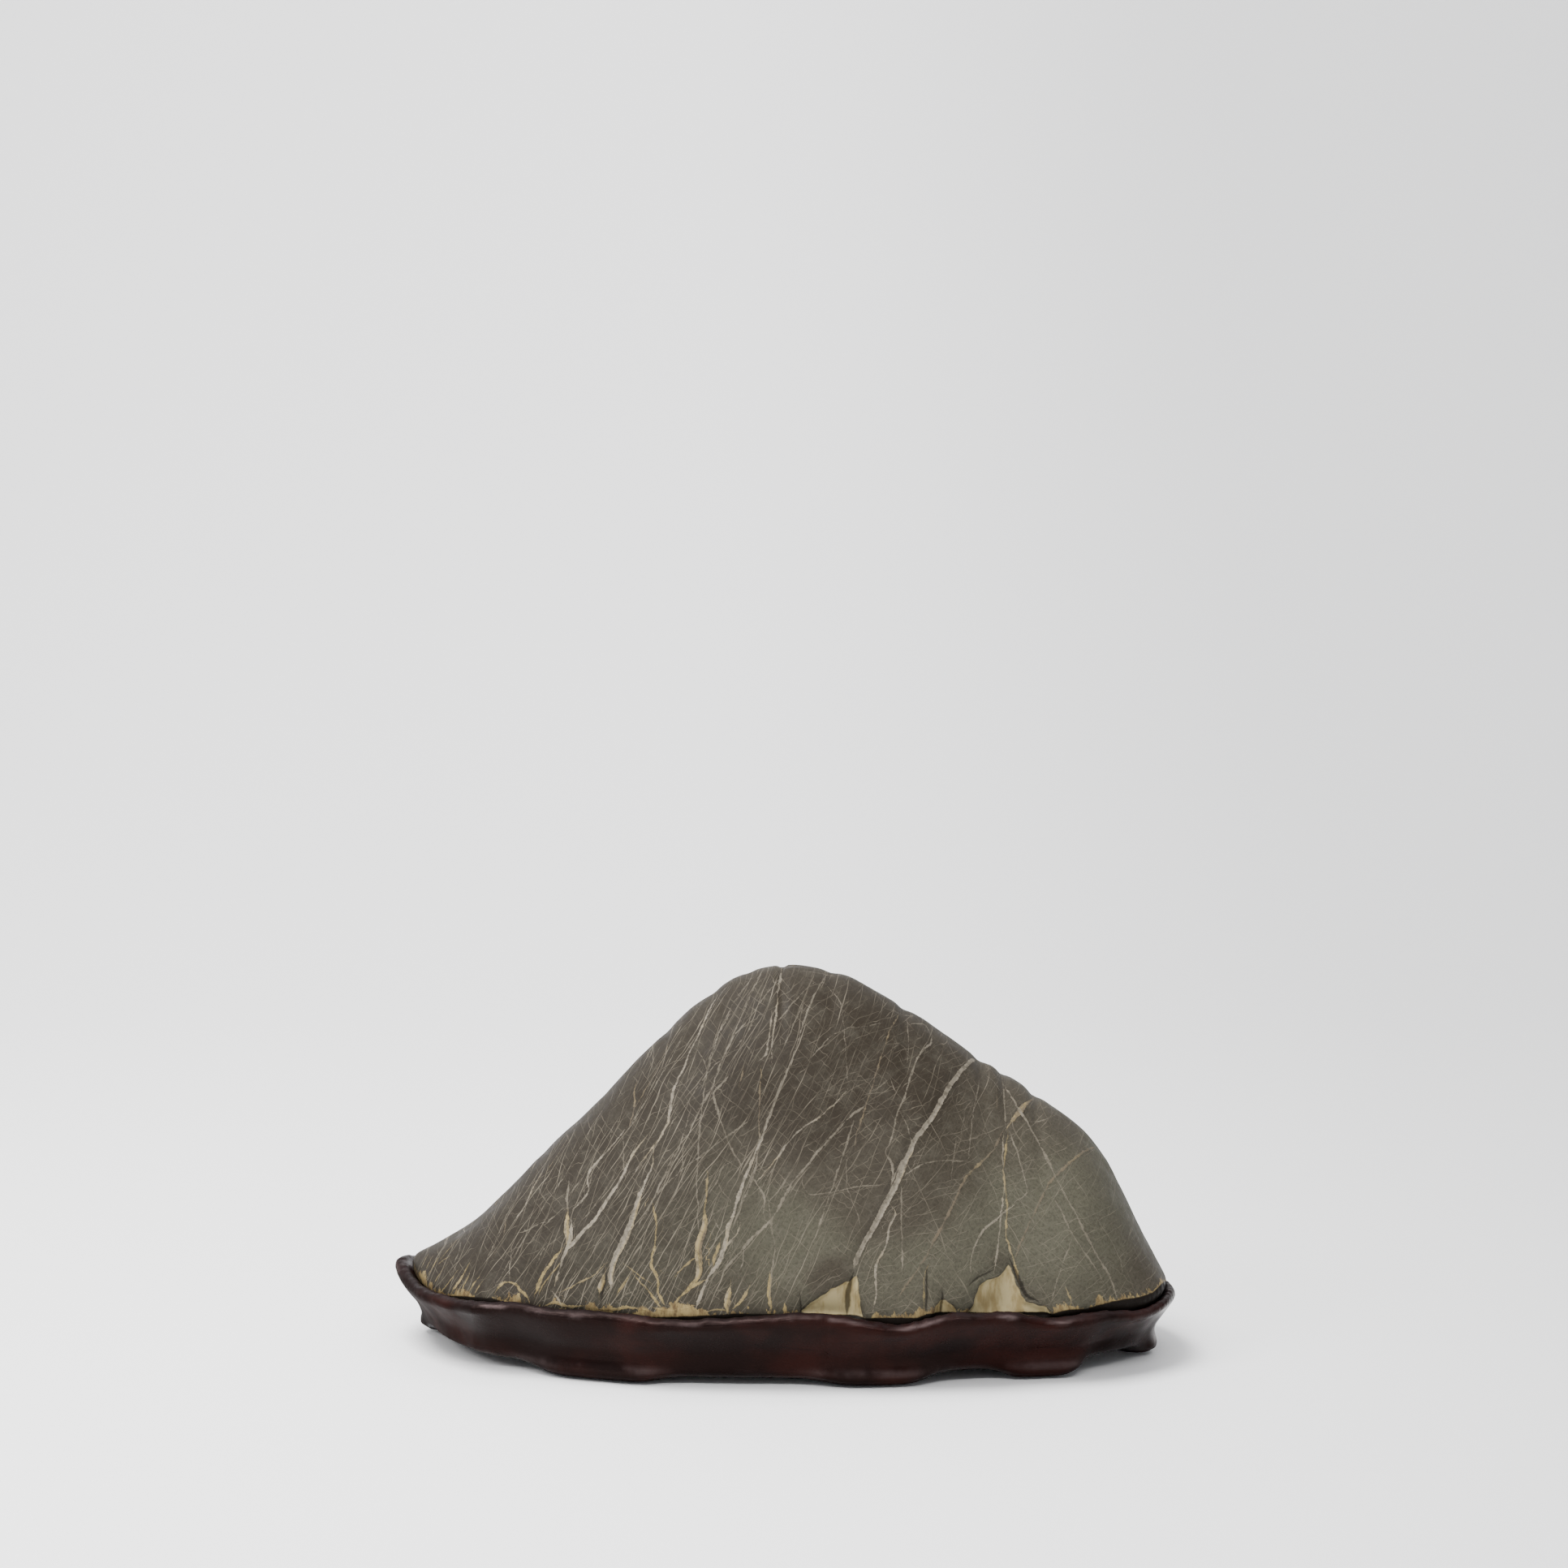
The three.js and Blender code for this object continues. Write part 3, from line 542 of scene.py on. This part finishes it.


# Dark cracks, and painted shadow under the lips of the broken places, as (widths, line).
CRACKS_AND_SHADOWS = [
    ((.6, 2, 1.4), [(28.8, 28.5), (27.3, 20.6), (26.7, 12)]),
    ((.8,), [(-70.9, 26.6), (-72.5, 21.7), (-73.2, 17)]),
    ((1,), [(65.2, 21), (65.2, 12)]),
    ((.6,), [(58.8, 30), (58.9, 22), (58.6, 13)]),
    ((1, 1.5, .8), [(92.7, 34), (96.3, 26), (99.3, 19.3), (104, 17.3)]),
    ((.5,), [(76.5, 24.5), (80, 27.5), (85, 29.8)]),
    ((.5,), [(7.6, 20), (8.1, 12)]),
]


def resampled(line, widths, step):
    """The line and its widths in mm, at even steps along it, narrower towards both ends."""
    corners = np.array(line, float)
    lengths = np.hypot(*np.diff(corners, axis=0).T)
    run = np.concatenate([[0], np.cumsum(lengths)])
    count = max(4, int(run[-1] / step) + 1)
    along = np.linspace(0, run[-1], count)
    spots = np.stack([np.interp(along, run, corners[:, axis]) for axis in (0, 1)], 1)
    for _ in range(2):
        spots[1:-1] = spots[1:-1] * 0.5 + (spots[:-2] + spots[2:]) * 0.25
    marks = np.linspace(0, run[-1], max(2, len(widths)))
    wide = np.interp(along, marks, widths if len(widths) > 1 else widths * 2)
    ends = np.minimum(along, run[-1] - along)
    return spots, wide * np.clip(0.25 + ends / TAPER, 0, 1)


stone_tree = BVHTree.FromPolygons([v.co for v in stone.data.vertices],
                                  [p.vertices[:] for p in stone.data.polygons])


def onto_stone(across, up):
    """Where the line of sight through a spot of the drawing meets the stone, or None."""
    sight = Vector((across * MM, 0, up * MM)) - EYE
    return stone_tree.ray_cast(EYE, sight.normalized())[0]


VEIN_STEP = 1.1
VEIN_REACH = 2.2
VEIN_JUMP = 7
SHORTEST_RUN = 4
TAPER = 4
LAYERS = 8
CRACK_AND_SHADOW_LAYER = LAYERS
FAR_OFF, NO_VEIN = 9.0, -1.0
laid_veins = []
for tint, widths, line in FRONT_VEINS + [(None, widths, line) for widths, line in CRACKS_AND_SHADOWS]:
    spots, wide = resampled(line, widths, VEIN_STEP)
    run = []
    for (across, up), width in zip(spots, wide):
        hit = onto_stone(across, up)
        if hit is None or (run and (hit - run[-1][0]).length > VEIN_JUMP * MM):
            if len(run) >= SHORTEST_RUN:
                laid_veins.append((tint, run))
            run = []
        if hit is not None:
            run.append((hit, width))
    if len(run) >= SHORTEST_RUN:
        laid_veins.append((tint, run))

# The widest veins are laid first. Each one goes to the layer where it meets the fewest others.
laid_veins.sort(key=lambda vein: -max(width for _, width in vein[1]))
vein_lines = [np.array([spot for spot, _ in vein]) / MM for _, vein in laid_veins]
vein_layer = []
for index, line in enumerate(vein_lines):
    if laid_veins[index][0] is None:
        vein_layer.append(CRACK_AND_SHADOW_LAYER)
        continue
    load = [0] * (LAYERS + 1)
    for other in range(index):
        gap = np.abs(line[:, None, :] - vein_lines[other][None, ::2, :]).max(2).min()
        if gap < 2 * VEIN_REACH:
            load[vein_layer[other]] += 1
    vein_layer.append(load.index(min(load[:LAYERS])))

stone_points = points_of(stone.data) / MM
stone_normals = normals_of(stone.data)
layer_offset = np.full((LAYERS + 1, len(stone_points)), FAR_OFF)
layer_half = np.full((LAYERS + 1, len(stone_points)), NO_VEIN)
layer_tint = np.zeros((LAYERS + 1, len(stone_points)))
for (tint, vein), line, layer in zip(laid_veins, vein_lines, vein_layer):
    wide = np.array([width for _, width in vein])
    reach = VEIN_REACH + wide.max() / 2
    inside = (stone_points > line.min(0) - reach) & (stone_points < line.max(0) + reach)
    near = np.nonzero(inside.all(1))[0]
    if not len(near):
        continue
    starts, spans = line[:-1], np.diff(line, axis=0)
    away = stone_points[near][:, None, :] - starts[None]
    share = np.clip((away * spans[None]).sum(2) / (spans ** 2).sum(1)[None], 0, 1)
    gaps = away - share[..., None] * spans[None]
    lengths = np.sqrt((gaps ** 2).sum(2))
    best = lengths.argmin(1)
    rows = np.arange(len(near))
    sideways = np.cross(spans[best], stone_normals[near])
    side = np.where((sideways * gaps[rows, best]).sum(1) < 0, -1, 1)
    offset = lengths[rows, best] * side
    passed = share[rows, best]
    half = (wide[:-1][best] * (1 - passed) + wide[1:][best] * passed) / 2
    half = np.where(np.abs(offset) > reach, NO_VEIN, half)
    rival = np.abs(layer_offset[layer, near]) - np.maximum(layer_half[layer, near], 0)
    wins = (np.abs(offset) - half < rival) & (half > 0)
    keep = near[wins]
    layer_offset[layer, keep] = offset[wins]
    layer_half[layer, keep] = half[wins]
    layer_tint[layer, keep] = tint or 0

# Veins of the back and sides: flat sheets of mineral that cut right through the stone, so their
# edges come out as long lines. Each family is (slope and turn in degrees, mm between sheets).
SHEET_FAMILIES = [(62, 8, 31), (54, -10, 43), (70, 14, 37), (118, 6, 52), (40, -6, 61),
                  (84, 10, 47), (128, 12, 67), (10, 5, 90)]
SHEETS = 40
SHEET_THICKNESSES = (.4, .5, .6, .8, 1.2)
SHEET_TINTS = (PALE, PALE, WHITE, TAN, CREAM)
chance = random.Random(11)
rear_share = smooth_step(-0.15, 0.25, stone_normals[:, 1])
for layer, (slope, turn, spacing) in enumerate(SHEET_FAMILIES):
    tilt, turn = math.radians(slope + 90), math.radians(turn)
    facing = np.array((math.cos(tilt), math.sin(turn) * 0.4, math.sin(tilt)))
    facing /= np.linalg.norm(facing)
    bend = 5 * waves(stone_points, 45, 20 + layer) + 1.6 * waves(stone_points, 13, 30 + layer)
    depth = stone_points @ facing + bend + chance.uniform(0, spacing)
    number = np.round(depth / spacing)
    shifts = np.array([chance.uniform(-.28, .28) * spacing for _ in range(SHEETS)])
    thicks = np.array([chance.choice(SHEET_THICKNESSES) for _ in range(SHEETS)])
    tints = np.array([chance.choice(SHEET_TINTS) for _ in range(SHEETS)])
    pick = number.astype(int) % SHEETS
    lean = np.sqrt(np.clip(1 - (stone_normals @ facing) ** 2, 0.05, 1))
    offset = (depth - number * spacing - shifts[pick]) / lean
    fade = smooth_step(-0.1, 0.5, waves(stone_points, 50, 40 + layer) + 0.35)
    half = thicks[pick] / 2 * fade * rear_share
    use = (layer_half[layer] < 0) & (np.abs(offset) < VEIN_REACH) & (rear_share > 0.02)
    layer_offset[layer][use] = offset[use]
    layer_half[layer][use] = half[use]
    layer_tint[layer][use] = tints[pick][use]

for layer in range(LAYERS + 1):
    layer_name = "cracks_and_shadows" if layer == CRACK_AND_SHADOW_LAYER else f"vein_{layer}"
    colour = stone.data.attributes.new(layer_name, "FLOAT_COLOR", "POINT")
    packed = np.stack([layer_offset[layer], layer_half[layer], layer_tint[layer],
                       np.ones(len(stone_points))], 1)
    colour.data.foreach_set("color", packed.astype(np.float32).ravel())

VEIN_RISE = 0.16
CRACK_DEPTH = 0.5
UNSEEN = -9

# Nicks where veins cross the skyline: (mm across, half width, depth).
SKYLINE_NICKS = [(.3, 1.5, 1.3), (20, 3, .7), (27, 6, -.5), (49, 2.5, .8), (56, 5, -.4),
                 (80, 2.5, .9), (84, 4, -.5), (89, 2, .9), (102, 2.5, 1.1), (-13, 2.5, .5),
                 (-27, 3, .6), (-36, 4, -.4), (-46, 2.5, .6), (-71, 3, .5), (-96, 2.5, .5)]

# The worn surface: slow swells, slight ridges along the veins, and fresh breaks along the foot.
BREAKS = [
    [(30.8, 29.5), (27.5, 25.6), (21, 22.8), (15.5, 19), (11.7, 16.7), (8, 12.8), (33.5, 10), (32, 17.3)],
    [(73, 10), (77.7, 16.1), (78.5, 20), (80.2, 23.9), (82.9, 26.2), (87.9, 27.6), (92, 32.3), (93.6, 28.4),
     (95.4, 23.9), (97.5, 20), (99.4, 17.3), (107.6, 15), (112, 10)],
    [(60.5, 10), (62.5, 15.5), (64.5, 18.2), (66.5, 18), (70.5, 14), (71.5, 10)],
]


def seen_places(points):
    """Each point as the drawing shows it: mm across and up, where its line of sight crosses."""
    eye = np.array(EYE) / MM
    share = eye[1] / (eye[1] - points[:, 1])
    across, up = (eye[axis] + (points[:, axis] - eye[axis]) * share for axis in (0, 2))
    return np.stack([across, up], 1)


def depth_inside(places, outline):
    """How deep each place lies inside a closed outline in mm, less than 0 outside it."""
    corners = np.array(outline, float)
    inside = np.zeros(len(places), bool)
    nearest = np.full(len(places), 1e9)
    for start, end in zip(corners, np.roll(corners, -1, 0)):
        span = end - start
        away = places - start
        share = np.clip((away @ span) / (span @ span), 0, 1)
        nearest = np.minimum(nearest, np.hypot(*(away - share[:, None] * span).T))
        crosses = (start[1] > places[:, 1]) != (end[1] > places[:, 1])
        at = start[0] + span[0] * (places[:, 1] - start[1]) / (span[1] if span[1] else 1e-9)
        inside ^= crosses & (places[:, 0] < at)
    return np.where(inside, nearest, -nearest)


seen = seen_places(stone_points)
front = stone_normals[:, 1] < 0.1
ragged = 0.7 * waves(stone_points, 5, 50) + 0.4 * waves(stone_points, 2.2, 51)
fresh = np.full(len(stone_points), float(UNSEEN))
for outline in BREAKS:
    fresh = np.maximum(fresh, np.where(front, depth_inside(seen, outline) + ragged, UNSEEN))
ridge = np.zeros(len(stone_points))
for layer in range(LAYERS):
    half = np.maximum(layer_half[layer], 0)
    raised = np.clip(half - 0.35, 0, 1.6) * np.exp(-(layer_offset[layer] / (half + 0.3)) ** 2)
    ridge = np.maximum(ridge, raised)
groove = np.exp(-(layer_offset[CRACK_AND_SHADOW_LAYER] / 1.1) ** 2) * (layer_half[CRACK_AND_SHADOW_LAYER] > 0)
swell = 0.5 * waves(stone_points, 34, 60) + 0.3 * waves(stone_points, 12, 61)
swell += 0.07 * waves(stone_points, 4, 62)
moves = SKIN_GROWTH + swell + VEIN_RISE * ridge - CRACK_DEPTH * groove
moves -= HOLLOW_DEPTH * smooth_step(-0.4, 1.4, fresh)
crest = smooth_step(0.5, 0.85, stone_normals[:, 2])
for across, half_width, dip in SKYLINE_NICKS:
    moves -= dip * crest * np.exp(-((stone_points[:, 0] - across) / half_width) ** 2)
stone_points += stone_normals * moves[:, None]
low, high = (np.array(corner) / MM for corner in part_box("stone"))
stone_points = np.clip(stone_points, low, high)
set_points(stone.data, stone_points * MM)

# How far each spot is above the foot, and the tones that change slowly over the stone, with painted shade.
FOOT_BEHIND = 3
FOOT_IN_FRONT = [(-160, 34), (-150, 29), (-139, 20.5), (-117, 18.8), (-100, 14), (-73, 12.6),
                 (-50, 11.2), (-35, 11.5), (-20, 12.6), (0, 12.4), (30, 12), (34, 10.8),
                 (55, 10.9), (59, 12.6), (75, 13), (100, 13), (110, 12.6), (115, 14), (123, 14.6),
                 (134, 17.6), (145, 19.2), (150, 21), (156, 27), (162, 34)]
foot_front = seen[:, 1] - np.interp(seen[:, 0], *zip(*FOOT_IN_FRONT))
foot_back = stone_points[:, 2] - beside(stone_points, rim_height) + FOOT_BEHIND
foot = foot_front * (1 - rear_share) + foot_back * rear_share
# Spots of darker and lighter stone: (mm across, mm up, size, amount). The small dark ones in the hollows of
# the breaks are painted shade.
TONE_AND_SHADE_SPOTS = [(12, 100, 34, -.85), (55, 100, 20, -.15), (-20, 100, 22, -.2), (55, 35, 30, .1),
              (118, 70, 34, 1.0), (-75, 60, 40, .15), (100, 40, 24, .45), (25, 135, 25, -.35),
              (88, 95, 16, .25), (-20, 60, 30, .3), (0, 42, 34, .55), (60, 38, 36, .45),
              (-75, 30, 30, .3), (130, 35, 26, .45), (44, 52, 13, -.5), (22, 29, 6, -.8),
              (15, 25, 5, -.6), (88, 33, 5, -.4)]
tone_and_shade = np.zeros(len(stone_points))
for across, up, size, amount in TONE_AND_SHADE_SPOTS:
    spot = amount * np.exp(-((seen[:, 0] - across) ** 2 + (seen[:, 1] - up) ** 2) / size ** 2)
    tone_and_shade += spot * (1 - rear_share * (size < 10))
tone_and_shade += rear_share * 0.5 * waves(stone_points, 60, 70)
# Faces turned upwards are painted darker: painted shade against the light from above.
tone_and_shade -= 0.6 * smooth_step(0.15, 0.8, stone_normals[:, 2])
paint(stone.data, "tone_and_shade", tone_and_shade)
paint(stone.data, "fresh", fresh)
paint(stone.data, "foot", foot)
pick_only(stone)
bpy.ops.object.shade_smooth()

# Each family of hairlines: how far its lines lean, the spacing and length of its lines in mm,
# their strength, and where it lies from left to right.
HAIR_FAMILIES = [
    (30, 2.8, 55, .85, (.02, -.05)), (25, 5, 100, 1, (.1, -.02)), (37, 4, 75, .95, (.03, -.04)),
    (20, 5, 60, .9, (.04, -.04)),
    (-28, 10, 110, .5, (.0, .07)), (38, 11, 120, .55, (-.08, .0)), (-50, 3.4, 14, .35, (-.3, -.1)),
    (80, 3, 20, .4, (-.02, .05)), (58, 3.4, 16, .4, (-.3, -.1)),
]
for number, (lean, *_) in enumerate(HAIR_FAMILIES):
    sideways = np.array((math.cos(math.radians(lean)), 0, -math.sin(math.radians(lean))))
    paint(stone.data, f"slant_{number}", np.sqrt(np.clip(1 - (stone_normals @ sideways) ** 2, 0.01, 1)))

rock = Finish("veined_stone")
cloud = rock.grain(22, 5, 0.6)
mottle = rock.grain(140, 6, 0.65)
speck = rock.grain(900, 4, 0.7)
level = rock.sum("ADD", rock.share("tone_and_shade"), rock.sum("MULTIPLY", rock.sum("SUBTRACT", cloud, 0.5), 1.2))
DARK_STONE = (.0205, .0162, .0112, 1)
MID_STONE = (.0365, .0313, .0228, 1)
PALE_STONE = (.056, .053, .0375, 1)
LEFT_STONE = (.0155, .0124, .01, 1)
BLOOM = (.068, .062, .048, 1)
# Dark of the pits in the stone, also used as painted shadow beside the wide veins.
PIT_AND_SHADOW_DARK = (.013, .0105, .0075, 1)
HAIR = (.152, .131, .098, 1)
PALE_VEIN = (.112, .097, .073, 1)
WHITE_VEIN = (.178, .154, .118, 1)
CREAM_VEIN = (.205, .155, .068, 1)
TAN_VEIN = (.092, .073, .05, 1)
# Near black for the cracks, also used for painted shadow.
CRACK_AND_SHADOW = (.006, .0042, .003, 1)
FOOT_CREAM = (.23, .172, .076, 1)
FOOT_RUST = (.085, .055, .026, 1)
FRESH_PALE = (.3, .248, .132, 1)
FRESH_OCHRE = (.19, .143, .066, 1)
base = rock.blend(rock.ramp(level, -0.9, 0.05), DARK_STONE, MID_STONE)
base = rock.blend(rock.ramp(level, 0.0, 0.75), base, PALE_STONE)
across = rock.add("ShaderNodeSeparateXYZ", {"Vector": rock.place}).outputs[0]
left_share = rock.ramp(across, 0.02, -0.08, 0, 0.6)
base = rock.blend(left_share, base, LEFT_STONE)
base = rock.blend(rock.ramp(mottle, 0.44, 0.74, 0, 0.32), base, BLOOM)
base = rock.blend(rock.ramp(speck, 0.56, 0.36, 0, 0.36), base, PIT_AND_SHADOW_DARK)

hairs = None
wander = rock.add("ShaderNodeTexNoise", {"Vector": rock.place, "Scale": 34, "Detail": 3})
bent = rock.add("ShaderNodeVectorMath", {0: wander.outputs["Color"], 1: (0.0024, 0.0024, 0.0024)},
                operation="MULTIPLY").outputs[0]
swayed = rock.add("ShaderNodeVectorMath", {0: rock.place, 1: bent}, operation="ADD").outputs[0]
for number, (lean, wide, long, amount, (from_x, to_x)) in enumerate(HAIR_FAMILIES):
    turned = rock.add("ShaderNodeMapping", {"Vector": swayed, "Location": (.013 * number, .021 * number, 0),
                                            "Rotation": (0, math.radians(lean), 0),
                                            "Scale": (wide * MM, 8 * wide * MM, long * MM)},
                      vector_type="TEXTURE").outputs[0]
    slow = rock.add("ShaderNodeMapping", {"Vector": turned, "Scale": (0.4, 0.4, 1.2)}).outputs[0]
    drift = rock.grain(1, 3, 0.6, slow)
    sheet = rock.sum("ADD", rock.add("ShaderNodeSeparateXYZ", {"Vector": turned}).outputs[0],
                     rock.sum("MULTIPLY", drift, 1.6))
    cells = rock.add("ShaderNodeTexVoronoi", {"W": sheet, "Scale": 1}, feature="DISTANCE_TO_EDGE",
                     voronoi_dimensions="1D")
    slant = rock.share(f"slant_{number}")
    squeezed = rock.sum("DIVIDE", cells.outputs["Distance"], slant)
    thread = rock.ramp(squeezed, .18 / wide, .03 / wide, 0, amount)
    length = rock.ramp(rock.grain(1.3, 3, 0.6, turned), 0.38, 0.56)
    patch = rock.sum("MULTIPLY", length, rock.ramp(rock.grain(30 + 7 * number, 3), 0.4, 0.62, 0.15, 1))
    there = rock.ramp(across, from_x, to_x, 0.12, 1)
    thread = rock.sum("MULTIPLY", rock.sum("MULTIPLY", thread, patch), there)
    hairs = thread if hairs is None else rock.sum("MAXIMUM", hairs, thread)
base = rock.blend(hairs, base, HAIR)

wobble = rock.sum("MULTIPLY", rock.sum("SUBTRACT", rock.grain(240, 4, 0.65), 0.5), 1.7)
crumble = rock.ramp(rock.grain(420, 5, 0.75), 0.36, 0.56)
thinning = rock.ramp(rock.grain(170, 4, 0.65), 0.34, 0.66, 0.25, 1.15)
edge_grit = rock.sum("MULTIPLY", rock.sum("SUBTRACT", speck, 0.5), 0.9)
tint_drift = rock.sum("MULTIPLY", rock.sum("SUBTRACT", rock.grain(55, 3), 0.5), 0.9)
relief = None
for layer in range(LAYERS):
    offset, half, tint = rock.parts(f"vein_{layer}")
    broad = rock.ramp(half, 0.5, 1.1)
    uneven = rock.add("ShaderNodeMix", {0: broad, 2: thinning, 3: 0.92}).outputs[0]
    half = rock.sum("MULTIPLY", half, uneven)
    off_line = rock.sum("ABSOLUTE", rock.sum("ADD", offset, wobble))
    depth = rock.sum("ADD", rock.sum("SUBTRACT", half, off_line), edge_grit)
    body = rock.ramp(depth, -0.11, 0.11)
    exists = rock.sum("GREATER_THAN", half, 0.02)
    body = rock.sum("MULTIPLY", body, exists)
    colours = rock.add("ShaderNodeValToRGB", {"Fac": tint})
    stops = colours.color_ramp.elements
    stops[0].color, stops[0].position = PALE_VEIN, 0
    stops[1].color, stops[1].position = TAN_VEIN, 1
    stops.new(WHITE).color = WHITE_VEIN
    stops.new(CREAM).color = CREAM_VEIN
    strength = rock.sum("MULTIPLY", body, rock.ramp(crumble, 0, 1, 0.42, 1))
    strength = rock.sum("MULTIPLY", strength, rock.ramp(half, 0.1, 0.75, 0.55, 1))
    wide = rock.ramp(half, 0.7, 1.0)
    # A painted shadow darkens the stone just beside one edge of each wide vein.
    vein_side_shadow = rock.sum("MULTIPLY", rock.ramp(rock.sum("ADD", offset, half), -0.9, 0.1, 0, 0.3), wide)
    base = rock.blend(rock.sum("MULTIPLY", vein_side_shadow, exists), base, PIT_AND_SHADOW_DARK)
    warm = rock.sum("MULTIPLY", rock.ramp(offset, 0.5, -0.8, -0.2, 0.2), wide)
    rock.put(colours.inputs["Fac"], rock.sum("ADD", rock.sum("ADD", tint, warm), tint_drift))
    base = rock.blend(strength, base, colours.outputs["Color"])
    relief = body if relief is None else rock.sum("MAXIMUM", relief, body)

fingers = rock.stretched((1, 1, 0.4), (0, -0.35, 0))
edge_noise = rock.sum("MULTIPLY", rock.sum("SUBTRACT", rock.grain(230, 5, 0.7, fingers), 0.5), 17)
foot_reach = rock.ramp(across, -0.02, 0.03, -21, -8)
foot_noise = rock.sum("MULTIPLY", rock.sum("SUBTRACT", rock.grain(75, 3, 0.6), 0.455), foot_reach)
foot_read = rock.sum("ADD", rock.share("foot"), rock.sum("ADD", edge_noise, foot_noise))
foot_share = rock.ramp(foot_read, 0.9, 0.1, 0, 0.85)
cream = rock.blend(rock.ramp(rock.grain(330, 5, 0.75, fingers), 0.35, 0.65), FOOT_CREAM, FOOT_RUST)
base = rock.blend(foot_share, base, cream)
below_foot_shadow = rock.sum("ADD", rock.share("foot"), rock.sum("MULTIPLY", edge_noise, 0.06))
fresh_share = rock.ramp(rock.share("fresh"), -0.1, 0.35)
fresh_streaks = rock.ramp(rock.grain(260, 4, 0.6, rock.stretched((1, 1, 0.3))), 0.4, 0.68)
base = rock.blend(fresh_share, base, rock.blend(fresh_streaks, FRESH_PALE, FRESH_OCHRE))
# Dark cracks, and painted shadow under the lips of the breaks.
offset, half, _ = rock.parts("cracks_and_shadows")
off_line = rock.sum("ABSOLUTE", rock.sum("ADD", offset, rock.sum("MULTIPLY", wobble, 0.6)))
crack_and_shadow_share = rock.ramp(rock.sum("SUBTRACT", half, off_line), -0.45, 0.3, 0, 0.75)
crack_and_shadow_share = rock.sum("MULTIPLY", crack_and_shadow_share, rock.sum("GREATER_THAN", half, 0.02))
base = rock.blend(crack_and_shadow_share, base, CRACK_AND_SHADOW)
# Below the foot line the stone is painted near black: painted shadow in the gap above the rim.
base = rock.blend(rock.ramp(below_foot_shadow, 0.1, -0.6), base, CRACK_AND_SHADOW)
rock.put(rock.surface.inputs["Base Color"], base)
rock.put(rock.surface.inputs["Roughness"], rock.ramp(mottle, 0.3, 0.7, 0.5, 0.68))
rock.surface.inputs["Specular IOR Level"].default_value = 0.07
height = rock.sum("ADD", rock.sum("MULTIPLY", mottle, 0.5), rock.sum("MULTIPLY", relief, 0.45))
height = rock.sum("ADD", height, rock.sum("MULTIPLY", speck, 0.22))
height = rock.sum("ADD", height, rock.sum("MULTIPLY", hairs, 0.3))
bumps = rock.add("ShaderNodeBump", {"Height": height, "Strength": 0.5, "Distance": 0.35 * MM})
rock.put(rock.surface.inputs["Normal"], bumps.outputs[0])
stone.data.materials.clear()
stone.data.materials.append(rock.material)
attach(stone, "root")
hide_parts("stone")


# Studio: a roll of pale paper laid on the table and carried up behind, a wide soft lamp above
# and to the left, a small one like a window, a long strip in front, one for the wall behind,
# and an even room light.
FLOOR_HALF = 6
FLOOR_FRONT = -6
WALL_AT = 2.0
WALL_TOP = 3.2
WALL_BEND = 1.2
bpy.ops.object.select_all(action="DESELECT")
bpy.ops.mesh.primitive_plane_add(size=2, location=(0, (WALL_AT + FLOOR_FRONT) / 2, 0))
paper = bpy.context.object
paper.name = "paper_sweep"
paper.scale = (FLOOR_HALF, (WALL_AT - FLOOR_FRONT) / 2, 1)
bpy.ops.object.transform_apply(location=True, rotation=True, scale=True)
for edge in paper.data.edges:
    edge.select = all(paper.data.vertices[i].co.y > 0 for i in edge.vertices)
for vertex in paper.data.vertices:
    vertex.select = vertex.co.y > 0
for face in paper.data.polygons:
    face.select = False
bpy.ops.object.mode_set(mode="EDIT")
bpy.ops.mesh.select_mode(type="EDGE")
bpy.ops.mesh.extrude_region_move(TRANSFORM_OT_translate={"value": (0, 0, WALL_TOP)})
bpy.ops.object.mode_set(mode="OBJECT")
apply_modifier(paper, "BEVEL", width=WALL_BEND, segments=24, limit_method="ANGLE")
bpy.ops.object.shade_smooth()
paper_finish = Finish("pale_paper")
PAPER_LIT = (0.88, 0.875, 0.87, 1)
PAPER_SHADED = (0.68, 0.678, 0.675, 1)
across = paper_finish.add("ShaderNodeSeparateXYZ", {"Vector": paper_finish.place}).outputs[0]
shaded = paper_finish.blend(paper_finish.ramp(across, -0.1, 0.42), PAPER_LIT, PAPER_SHADED)
paper_finish.put(paper_finish.surface.inputs["Base Color"], shaded)
paper_finish.surface.inputs["Roughness"].default_value = 0.75
paper_finish.surface.inputs["Specular IOR Level"].default_value = 0.2
paper.data.materials.clear()
paper.data.materials.append(paper_finish.material)

world = bpy.data.worlds.new("room")
world.use_nodes = True
world.node_tree.nodes["Background"].inputs[0].default_value = (0.93, 0.95, 1.0, 1)
world.node_tree.nodes["Background"].inputs[1].default_value = 0.8
bpy.context.scene.world = world


def soft_lamp(name, place, aim, size, power):
    bpy.ops.object.light_add(type="AREA", location=place)
    lamp = bpy.context.object
    lamp.name = name
    lamp.data.shape = "RECTANGLE"
    lamp.data.size, lamp.data.size_y = size
    lamp.data.energy = power
    lamp.rotation_euler = (Vector(aim) - Vector(place)).to_track_quat("-Z", "Y").to_euler()


soft_lamp("top_softbox", (-0.5, -0.25, 1.45), (-0.05, 0, 0.05), (0.9, 0.7), 52)
soft_lamp("window", (-1.05, -0.7, 0.9), (0, 0, 0.05), (0.5, 0.4), 8)
soft_lamp("front_strip", (0.1, -1.25, 1.25), (0, 0, 0.03), (1.3, 0.12), 16)
soft_lamp("wall_light", (0, 0.9, 2.2), (0, 2.0, 0.9), (3.0, 0.6), 50)
